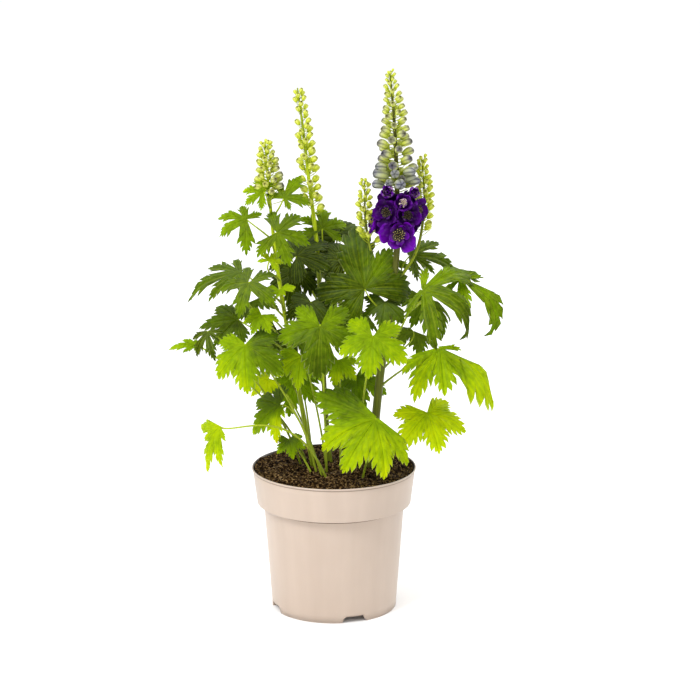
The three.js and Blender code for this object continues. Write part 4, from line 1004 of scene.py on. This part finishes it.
# Buds about to open, lowest on the right stem: x, y, z of the pod's base, azimuth, length and width.
OPENING_BUDS = [
    (63, -11, 509, 198, 20, 14), (60, -12, 518, 215, 16, 10), (70, -14, 511, 262, 13, 11),
    (78, -10, 512, 330, 16, 10), (72, -16, 499, 285, 16, 13), (58, -4, 496, 190, 15, 11),
    (84, -4, 500, 350, 14, 10), (78, 8, 506, 40, 16, 11), (62, 8, 508, 140, 16, 11),
    (70, 12, 499, 90, 16, 11), (66, -12, 500, 248, 14, 10), (78, -8, 503, 20, 16, 11),
    (60, -6, 516, 172, 13, 10), (82, -4, 515, 12, 13, 10),
]
# A pod's outline, as share of its length, share of its half width and place in the colour scale. The last
# two rings make the dimple at its end; small pods leave out every other ring.
POD_OUTLINE = np.array([(0, 0, 0), (0.1, 0.52, 0.1), (0.28, 0.78, 0.25), (0.48, 0.94, 0.45), (0.66, 1, 0.62),
                        (0.82, 0.95, 0.76), (0.93, 0.72, 0.87), (1, 0.36, 0.95), (0.95, 0, 1)])
SMALL_POD_RINGS = [0, 2, 4, 6, 8]
LARGE_POD = 13 * MM  # pods longer than this get all rings
FURROW = 0.26  # depth of the furrows at a pod's end, as a share of its radius
THINNEST_STALK = 0.35 * MM
BRACT = 0.15 * MM
OPENING_STALK_R = 0.9 * MM


def add_pod(batch, base, axis, long, wide, ripe, turned, large):
    """A pod: a club, narrow at its foot, widest at two thirds and rounded off, of five sepals whose ridges
    and furrows grow stronger towards its dimpled end."""
    share, girth, tip = (POD_OUTLINE if large else POD_OUTLINE[SMALL_POD_RINGS]).T
    sides = 15 if large else 10
    bow = np.sin(np.pi * share) * 0.06 * long
    pod = base + axis * (share * long)[:, None] + np.outer(bow, UP)
    side = unit(np.cross(axis, UP))
    top = np.cross(side, axis)
    turn = 2 * np.pi * np.arange(sides) / sides
    furrow = 0.5 + 0.5 * np.cos(5 * turn)
    circle = np.cos(turn + turned)[:, None] * top + np.sin(turn + turned)[:, None] * side
    depth = FURROW * np.clip(share - 0.15, 0, 1)[:, None] * furrow
    points = (pod[:, None] + (0.5 * wide * girth[:, None] * (1 - depth))[..., None] * circle).reshape(-1, 3)
    faces = grid_faces(len(share), sides, True)[:, ::-1]
    batch.add(points, faces, ripe=ripe, tip=np.repeat(tip, sides), furrow=np.tile(furrow, len(share)))


def add_bud(batch, root, azimuth, rise, stalk, long, wide, lilac, bract):
    """A bud: its stalk, an arc that rises and turns out, its pod, its spur, a cone that runs back over the
    stalk, and its bract, a narrow pointed blade under the stalk."""
    out = np.array([np.cos(azimuth), np.sin(azimuth), 0])
    axis = unit(out + rise * UP)
    neck = root + out * stalk + UP * (0.35 + 0.5 * rise) * stalk
    thin = max(0.06 * wide, THINNEST_STALK)
    leave, arrive = root + stalk * (0.25 * out + 0.5 * UP), neck - 0.3 * stalk * (out + rise * UP)
    path = bezier(root, leave, arrive, neck, 4)
    batch.add(*tube(path, np.full(4, thin), 4), ripe=0.0, tip=0.0, furrow=0.0)
    add_pod(batch, neck, axis, long, wide, lilac, azimuth, long > LARGE_POD)
    t = np.linspace(0, 1, 3)[:, None]
    spur = neck + (0.12 - 0.5 * t) * long * axis + (0.2 * wide + 0.22 * long * t) * UP
    batch.add(*tube(spur, 0.12 * wide * (1.05 - t[:, 0]), 4), ripe=lilac, tip=0.5, furrow=0.3)
    side = np.cross(out, UP)
    reach = bract * (0.9 * stalk + 0.45 * long)
    blade = root + out * reach * t + UP * reach * (0.5 * rise * t - 0.12 + 0.1 * t * t)
    width = 0.07 * wide * np.sin(np.pi * (0.12 + 0.88 * t)) + 0.06 * MM
    sheet = np.concatenate([blade - side * width, blade - 1.3 * width * UP, blade + side * width])
    faces = np.concatenate([grid_faces(3, 3, False), grid_faces(3, 3, False)[:, ::-1] + len(sheet)])
    batch.add(np.concatenate([sheet, sheet + BRACT * UP]), faces[:, ::-1], ripe=0.0, tip=0.1, furrow=0.2)


def bud_skin():
    """Bud skin: yellow-green, turning to lilac on ripe buds and grey-violet on opening ones, darkest in the
    furrows and at the tip, thin enough for light to shine through."""
    bud = Finish("bud_skin")
    calc, blend = bud.calc, bud.blend
    ripe, tip, furrow = bud.values("ripe", "tip", "furrow")
    young = bud.ramp(tip, [
        (0.0, (0.48, 0.56, 0.006)),
        (0.45, (0.88, 0.95, 0.08)),
        (0.78, (0.84, 0.88, 0.2)),
        (0.92, (0.62, 0.62, 0.12)),
        (1.0, (0.36, 0.36, 0.06)),
    ])
    old = bud.ramp(tip, [
        (0.0, (0.5, 0.6, 0.02)),
        (0.45, (0.86, 0.92, 0.2)),
        (0.7, (0.74, 0.76, 0.42)),
        (0.88, (0.2, 0.18, 0.2)),
        (1.0, (0.03, 0.025, 0.045)),
    ])
    opening = bud.spread(ripe, 1.05, 1.5, high=0.6)
    colour = blend(opening, blend(ripe, young, old), (0.42, 0.44, 0.52, 1))
    lines = calc("MULTIPLY", calc("POWER", furrow, 1.6), calc("MULTIPLY_ADD", tip, 0.6, 0.45))
    dark = calc("MULTIPLY", lines, calc("MULTIPLY_ADD", ripe, 0.3, 0.6))
    colour = blend(dark, colour, blend(ripe, (0.13, 0.14, 0.008, 1), (0.035, 0.035, 0.09, 1)))
    patches = calc("MULTIPLY_ADD", bud.noise(160.0, 3.0), 0.5, -0.2)
    colour = blend(patches, colour, (0.74, 0.84, 0.1, 1))
    return bud.done(bud.see_through(0.34, bud.surface(colour, 0.4, Specular_IOR_Level=0.25), colour))


bud_look = bud_skin()
bud_batches = {side: Batch() for side in STEM_AXES}
for number, spike in enumerate(BUD_SPIKES):
    share = np.arange(spike["places"]) / (spike["places"] - 1)
    heights = spike["low"] + (spike["high"] - spike["low"]) * share**0.8
    roots = axis_at(spike["axis"], heights) * MM
    sizes = 1 + (spike["top"] - 1) * share**1.3
    for i, (root, size) in enumerate(zip(roots, sizes)):
        if vary(i, number + 90) > spike["filled"]:
            continue
        azimuth = np.radians(spike["turn"] + i * GOLDEN_ANGLE + 8 * vary(i, number))
        grown = size * (1 + 0.1 * vary(i, number + 30)) * MM
        lilac = spike["lilac"] * np.clip(1.25 - 1.3 * share[i], 0, 1)
        lilac += spike["right_lilac"] * max(0, math.cos(azimuth)) * (1 - share[i])
        stalk, long, wide = (grown * spike[key] for key in ("stalk", "long", "wide"))
        rise = spike["rise"] * (1 + 0.15 * vary(i, number + 50)) + 1.2 * share[i] ** 3
        bract = 1 + spike["bract"] * max(0, 1 - 2.5 * share[i])
        add_bud(bud_batches[spike["stem"]], root, azimuth, rise, stalk, long, wide, lilac, bract)
for number, (x, y, z, azimuth, long, wide) in enumerate(OPENING_BUDS):
    base, turned = np.array([x, y, z]) * MM, np.radians(azimuth)
    axis = unit(np.array([np.cos(turned), np.sin(turned), 0.25]))
    ripe = 1.4 + 0.2 * vary(number, 3)
    add_pod(bud_batches["right"], base, axis, long * MM, wide * MM, ripe, number, True)
    root = axis_at(STEM_AXES["right"], z - 12)[0] * MM
    path = bezier(root, root + 5 * MM * UP, base - 5 * MM * axis, base + 0.5 * MM * axis, 8)
    bud_batches["right"].add(*tube(path, np.full(8, OPENING_STALK_R), 7), ripe=0.3, tip=0.0, furrow=0.5)
for side, batch in bud_batches.items():
    batch.piece(f"stem_{side}_buds", "stem", bud_look, [f"stem_{side}"])

# -----------------------------------------------------------------------------------------------------------
# The florets. Violet blooms on stalks from the right stem: five broad ruffled sepals, a smaller ring in
# their gaps, a spur behind, and in the throat the bee, a tuft of small brown or cream petals and fine hairs.
EVEN = (1.0, 1.0, 1.0, 1.0, 1.0)
# Rows: node, eye node, centre x, y, z, face, lift, spin, reach, bend into a cup, height of the stalk on the
# stem, how light its bee is, from 0, brown, to 1, cream, how lit the floret is painted, from dark violet in
# shade to vivid violet in light, and the lengths of its outer petals, from the lowest round to its left.
FLORETS = [
    ("florets_front", "eye_front", 73, -32, 447, -88, 4, 132, 25, -0.7, 431, 0, 1.0,
     (0.98, 0.86, 0.6, 1.08, 0.72)),
    ("florets_front", "eye_left", 61, -24, 470, -112, 11, 180, 20, -1.0, 453, 0, 0.22,
     (1.1, 1.05, 0.9, 0.95, 1.0)),
    ("florets_front", "eye_front_right", 81, -28, 468, -72, 8, 180, 19, -1.1, 455, 0, 0.18,
     (1.1, 1.1, 1.0, 1.0, 1.05)),
    ("florets_front", "eye_front_upper", 78, -34, 482, -88, 20, 180, 15, -1.4, 468, 1, 0.42, EVEN),
    ("floret_right", "eye_right", 92, -10, 470, -30, 11, 180, 17, -1.1, 456, 0, 0.45, EVEN),
    ("floret_left_upper", "", 62, -21, 491, -105, 22, 180, 14, -1.9, 480, 0.6, 0.4, EVEN),
    ("floret_right_upper", "", 88, -17, 490, -60, 21, 180, 12, -1.9, 478, 0.8, 0.4, EVEN),
    ("floret_left_low", "", 50, -3, 455, 190, 11, 180, 17, -0.9, 443, 0, 0.6, EVEN),
    ("floret_back", "", 63, 26, 445, 100, 11, 180, 22, -0.8, 437, 0, 0.7, EVEN),
    ("floret_back_upper", "", 74, 25, 471, 75, 14, 180, 15, -1.2, 463, 0.4, 0.5, EVEN),
]
# More blooms deep in the cluster, seen only in part and painted the dark violet of shade: centre x, y, z,
# face, lift, reach and bend.
DEEP_FLORETS = [
    (70, -14, 476, -100, 8, 18, -1.0), (71, -13, 458, -92, -6, 19, -0.9), (60, -12, 455, -128, 4, 16, -1.0),
    (84, -12, 457, -52, 4, 16, -1.0), (80, -8, 482, -40, 12, 14, -1.3), (60, -6, 481, -150, 12, 13, -1.3),
]
# How lit the deep blooms are painted: little, for they lie in shade.
DEEP_SHADE = 0.14
HALF_OPEN = -1.8  # bend of the cup past which a floret is half open, its petals still part green
CLOSED = -1.5  # bend past which no bee shows
PETALS = 5
PETAL = 0.4 * MM
PETAL_LONG = 15
PETAL_WIDE = 11
OUTER_WIDTH = 0.5
INNER_WIDTH = 0.4
INNER_LIFT = 1.8 * MM
FLORET_DEPTH = 3.9 * MM
FLORET_STALK_TONE = 0.12
HAIRS = 26
HAIR_RADII = np.array([0.14, 0.14, 0.2, 0.36]) * MM
BEE_PETAL = 0.35 * MM
BEE_LIFT = 2.2 * MM
BEE_RINGS = [(9, 0.3, 0.75), (6, 0.2, 0.35)]  # petals in a ring, their length in reaches and their lean
# Shares of a floret's reach.
INNER_SHARE = 0.58
SPUR_LONG = 0.62
RUFFLE = 0.045
CREASE = 0.03


def add_petal(batch, hub, axes, angle, reach, bend, width, seed, lifted, light, vivid):
    """A petal: distance along it is laid on the cup's arc, its half width swells to seven tenths of its
    length and rounds off, its edges overlap the next petal's and are ruffled."""
    n, u, v = axes
    s, t = np.meshgrid(np.linspace(0.03, 1, PETAL_LONG), np.linspace(-1, 1, PETAL_WIDE), indexing="ij")
    swell = np.clip(s / 0.7, 0, 1)
    half = width * (0.12 + 0.88 * swell * swell * (3 - 2 * swell))
    half *= np.sqrt(np.clip(1 - (np.clip(s - 0.7, 0, 1) / 0.302) ** 2, 0.0004, 1))
    notch = 1 + 0.05 * np.cos(3.2 * np.pi * t + seed) * s**4
    x, y = s * reach * notch, t * half * reach
    flat = np.arctan2(y, x) + np.radians(angle)
    out = np.cos(flat)[..., None] * u + np.sin(flat)[..., None] * v
    wave = np.sin(2.6 * t * np.pi + seed) * np.abs(t) + 0.6 * np.sin(4 * s + seed)
    ruffle = RUFFLE * reach * s**2 * wave
    crease = -CREASE * reach * np.exp(-((t / 0.18) ** 2)) * s
    height = lifted + 0.05 * reach * t * s + ruffle + crease + 0.1 * reach * t * t * s
    points = bent_sheet(hub, n, out, np.hypot(x, y), bend / reach, height, PETAL)
    faces = both_sides(halved(grid_faces(PETAL_LONG, PETAL_WIDE, False)), s.size)
    depth, streak = np.tile(s.ravel(), 2), np.tile(np.abs(t).ravel(), 2)
    batch.add(points, faces, depth=depth, light=light, vivid=vivid, streak=streak)


def add_spur(batch, hub, n, reach, vivid):
    """The spur: a tapering tube from behind the hub, back and up, with a slight hook at its end."""
    t = np.linspace(0, 1, 9)[:, None]
    long = SPUR_LONG * reach
    path = hub - n * (0.6 * MM + long * t) + UP * (0.55 * long * t**1.4)
    radii = reach * (0.1 * (1 - t[:, 0]) ** 0.7 + 0.025)
    batch.add(*tube(path, radii, 9), depth=0.35, light=0.0, vivid=vivid, streak=0.5)


def petal_skin():
    """Velvety violet: near black-violet deep in the bloom, with painted light and shade on the sepals, vivid
    violet on lit florets and dark violet on those in shade, fine darker veins, pale pinkish marks where the
    petal is still half green."""
    petal = Finish("petal_skin")
    calc, blend = petal.calc, petal.blend
    depth, light, vivid, streak = petal.values("depth", "light", "vivid", "streak")
    shifted = calc("MULTIPLY_ADD", petal.noise(90.0, 4.0), 0.3, calc("SUBTRACT", depth, 0.15))
    # Painted light and shade: the first ramp is the violet of a floret in shade, the second that of a lit
    # one, mixed by how lit the floret is.
    shaded_violet = petal.ramp(shifted, [
        (0.0, (0.003, 0.001, 0.006)),
        (0.5, (0.013, 0.001, 0.035)),
        (1.0, (0.05, 0.003, 0.12)),
    ])
    bright = petal.ramp(shifted, [
        (0.0, (0.02, 0.001, 0.045)),
        (0.5, (0.08, 0.001, 0.19)),
        (1.0, (0.24, 0.005, 0.6)),
    ])
    veins = calc("LESS_THAN", calc("PINGPONG", calc("MULTIPLY", streak, 3.0), 0.5), 0.06)
    violet = blend(calc("MULTIPLY", veins, 0.35), blend(vivid, shaded_violet, bright), (0.012, 0.001, 0.06, 1))
    spots = petal.spread(petal.noise(220.0), 0.5, 0.66)
    colour = blend(calc("MULTIPLY", spots, light), violet, (0.75, 0.45, 0.7, 1))
    velvet = petal.bumps(petal.noise(1400.0), 0.3, 0.4 * MM)
    skin = petal.surface(colour, 0.5, Normal=velvet, Specular_IOR_Level=0.06)
    return petal.done(petal.see_through(0.25, skin, colour))


def bee_skin():
    """The bee's small petals: brown-violet at the base, cream at the tip, and yellow on the hairs."""
    bee = Finish("bee_skin")
    tip, pale = bee.values("tip", "pale")
    brown = bee.ramp(tip, [
        (0.0, (0.005, 0.002, 0.005)),
        (0.62, (0.016, 0.008, 0.006)),
        (0.8, (0.05, 0.032, 0.01)),
        (0.9, (0.2, 0.15, 0.03)),
        (1.0, (0.6, 0.48, 0.12)),
    ])
    cream = bee.ramp(tip, [(0.0, (0.16, 0.05, 0.14)), (0.35, (0.7, 0.5, 0.42)), (1.0, (0.95, 0.82, 0.66))])
    return bee.done(bee.surface(bee.blend(pale, brown, cream), 0.6))


def add_bee(batch, hub, axes, reach, pale, tip_brightening, seed):
    """The bee: two rings of small notched petals that lean outwards, and a brush of fine hairs between them.
    Its tips are painted brighter when its floret is lit, and are brighter when the bee is pale."""
    n, u, v = axes
    t = np.linspace(0, 1, 6)[:, None]
    faces = both_sides(halved(grid_faces(len(t), 3, False)), 3 * len(t))
    for ring, (count, long, lean) in enumerate(BEE_RINGS):
        for i in range(count):
            turn = 2 * np.pi * (i + 0.3 * vary(seed + ring, i)) / count
            out = np.cos(turn) * u + np.sin(turn) * v
            across = np.cross(n, out)
            size = reach * long * (1 + 0.2 * vary(seed + i, ring + 5))
            spine = hub + out * size * (0.25 + lean * t) + n * size * (0.15 + 0.75 * t - 0.45 * t * t)
            width = size * 0.24 * np.sin(np.pi * (0.15 + 0.72 * t)) ** 0.8
            sheet = np.stack([spine - across * width, spine + n * 0.12 * width, spine + across * width], 1)
            points = np.concatenate([sheet, sheet - n * BEE_PETAL]).reshape(-1, 3)
            seen = tip_brightening * (0.86 + 0.14 * vary(i, seed + ring + 9))
            batch.add(points, faces, tip=np.tile(np.repeat(seen * t[:, 0], 3), 2), pale=pale)
    t = np.linspace(0, 1, len(HAIR_RADII))[:, None]
    tip = tip_brightening * 0.2 * np.repeat(np.arange(1, len(t) + 3), 5)
    for i in range(HAIRS):
        turn = i * np.radians(GOLDEN_ANGLE)
        out = np.cos(turn) * u + np.sin(turn) * v
        far = reach * 0.24 * math.sqrt((i + 0.5) / HAIRS)
        path = hub + out * far * (0.4 + 0.8 * t) + n * reach * (0.1 + (0.2 + 0.07 * vary(seed, i)) * t)
        batch.add(*tube(path, HAIR_RADII, 5), tip=np.minimum(tip, tip_brightening), pale=0.7 * pale)


petal_look, bee_look = petal_skin(), bee_skin()
bloom_batches, eye_batches = {}, {}
floret_stalks = Batch()
for number, row in enumerate(FLORETS):
    node, eye, x, y, z, face, lift, spin, reach, bend, height, pale, vivid, longs = row
    axes = blade_axes(face, lift, spin)
    n = axes[0]
    hub, size = np.array([x, y, z]) * MM, reach * MM
    bloom = bloom_batches.setdefault(node, Batch())
    green = 0.05 + 0.5 * (bend < HALF_OPEN)
    for i in range(PETALS):
        long = size * longs[i] * (1 + 0.06 * vary(80 + number, i))
        seen = vivid * (1 + 0.4 * vary(number, i + 60)) + 0.3 * max(0, vary(number, i + 70)) * (1 - vivid)
        add_petal(bloom, hub, axes, 72 * i, long, bend, OUTER_WIDTH, 3 * i + number, 0, green, seen)
        add_petal(bloom, hub + INNER_LIFT * n, axes, 72 * i + 36, INNER_SHARE * size, 1.3 * bend,
                  INNER_WIDTH, 5 * i + number, PETAL, 0.1 + 0.7 * (pale > 0.5), 0.7 * seen)
    add_spur(bloom, hub, n, size, vivid)
    back = hub - n * FLORET_DEPTH
    root = axis_at(STEM_AXES["right"], height)[0] * MM
    bow = back - n * 0.4 * np.linalg.norm(root - back)
    t = np.linspace(0, 1, 10)[:, None]
    path = (1 - t) ** 2 * root + 2 * t * (1 - t) * bow + t * t * (hub - 0.8 * MM * n)
    floret_stalks.add(*tube(path, np.linspace(1.1, 0.9, 10) * MM, 9), tone=FLORET_STALK_TONE)
    if eye or bend > CLOSED:
        bee = eye_batches.setdefault(eye or node + "_eye", Batch())
        # Painted light: a bee in a lit floret gets brighter tips.
        add_bee(bee, hub + BEE_LIFT * n, axes, size, pale, 0.85 + 0.15 * max(vivid, pale), number)
for number, (x, y, z, face, lift, reach, bend) in enumerate(DEEP_FLORETS):
    axes, hub = blade_axes(face, lift, 180 + 20 * number), np.array([x, y, z]) * MM
    bloom = bloom_batches["florets_front"]
    for i in range(PETALS):
        add_petal(bloom, hub, axes, 72 * i, reach * MM, bend, OUTER_WIDTH, i + number, 0, 0.0, DEEP_SHADE)
for node, batch in bloom_batches.items():
    batch.piece(node + "_petals", "petal", petal_look, [node])
for name, batch in eye_batches.items():
    batch.piece(name + "_bee", "eye", bee_look, [name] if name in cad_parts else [])
floret_stalks.piece("floret_stalks", "stem", stem_look, ["stem_right"])

# -----------------------------------------------------------------------------------------------------------
# The studio: a wide pale floor, soft even light from all round with a little more from the upper left, and a
# camera that looks slightly down on the plant.
FLOOR_HALF = 14.0
CAMERA_AT = (0.0185, -3.0, 1.047)
CAMERA_PITCH = 13.89
CAMERA_LENS = 138.8
WORLD_LIGHT = 1.1
KEY_POWER = 58
BACK_POWER = 30


def floor_paint():
    """Matt white paint with the faintest unevenness."""
    paint = Finish("floor_paint")
    whites = [(0.0, (0.9, 0.9, 0.9)), (1.0, (0.92, 0.92, 0.92))]
    return paint.done(paint.surface(paint.ramp(paint.noise(3.0), whites), 0.9))


corners = FLOOR_HALF * np.array([(-1, -1, 0), (1, -1, 0), (1, 1, 0), (-1, 1, 0)])
floor_mesh = bpy.data.meshes.new("floor")
floor_mesh.from_pydata(corners.tolist(), [], [(0, 1, 2, 3)])
floor_mesh.materials.append(floor_paint())
floor = bpy.data.objects.new("floor", floor_mesh)
bpy.context.scene.collection.objects.link(floor)

world = bpy.data.worlds.new("studio")
world.use_nodes = True
background = world.node_tree.nodes["Background"]
background.inputs["Color"].default_value = (1, 1, 1, 1)
background.inputs["Strength"].default_value = WORLD_LIGHT
bpy.context.scene.world = world


def soft_light(name, at, target, size, power):
    """A square soft box at a place, turned to a target."""
    light = bpy.data.lights.new(name, "AREA")
    light.size = size
    light.energy = power
    made = bpy.data.objects.new(name, light)
    bpy.context.scene.collection.objects.link(made)
    made.location = at
    look = np.array(target) - np.array(at)
    tilt = math.atan2(math.hypot(look[0], look[1]), -look[2])
    made.rotation_euler = (tilt, 0, math.atan2(-look[0], look[1]))


soft_light("key_light", (-1.4, -1.6, 2.4), (0, 0, 0.3), 1.0, KEY_POWER)
soft_light("back_light", (1.2, 1.9, 1.9), (0, 0, 0.35), 1.6, BACK_POWER)

camera_data = bpy.data.cameras.new("camera")
camera_data.lens = CAMERA_LENS
camera_data.clip_end = 60
camera = bpy.data.objects.new("camera", camera_data)
bpy.context.scene.collection.objects.link(camera)
camera.location = CAMERA_AT
camera.rotation_euler = (math.radians(90 - CAMERA_PITCH), 0, 0)
bpy.context.scene.camera = camera
bpy.context.scene.view_settings.view_transform = "Standard"
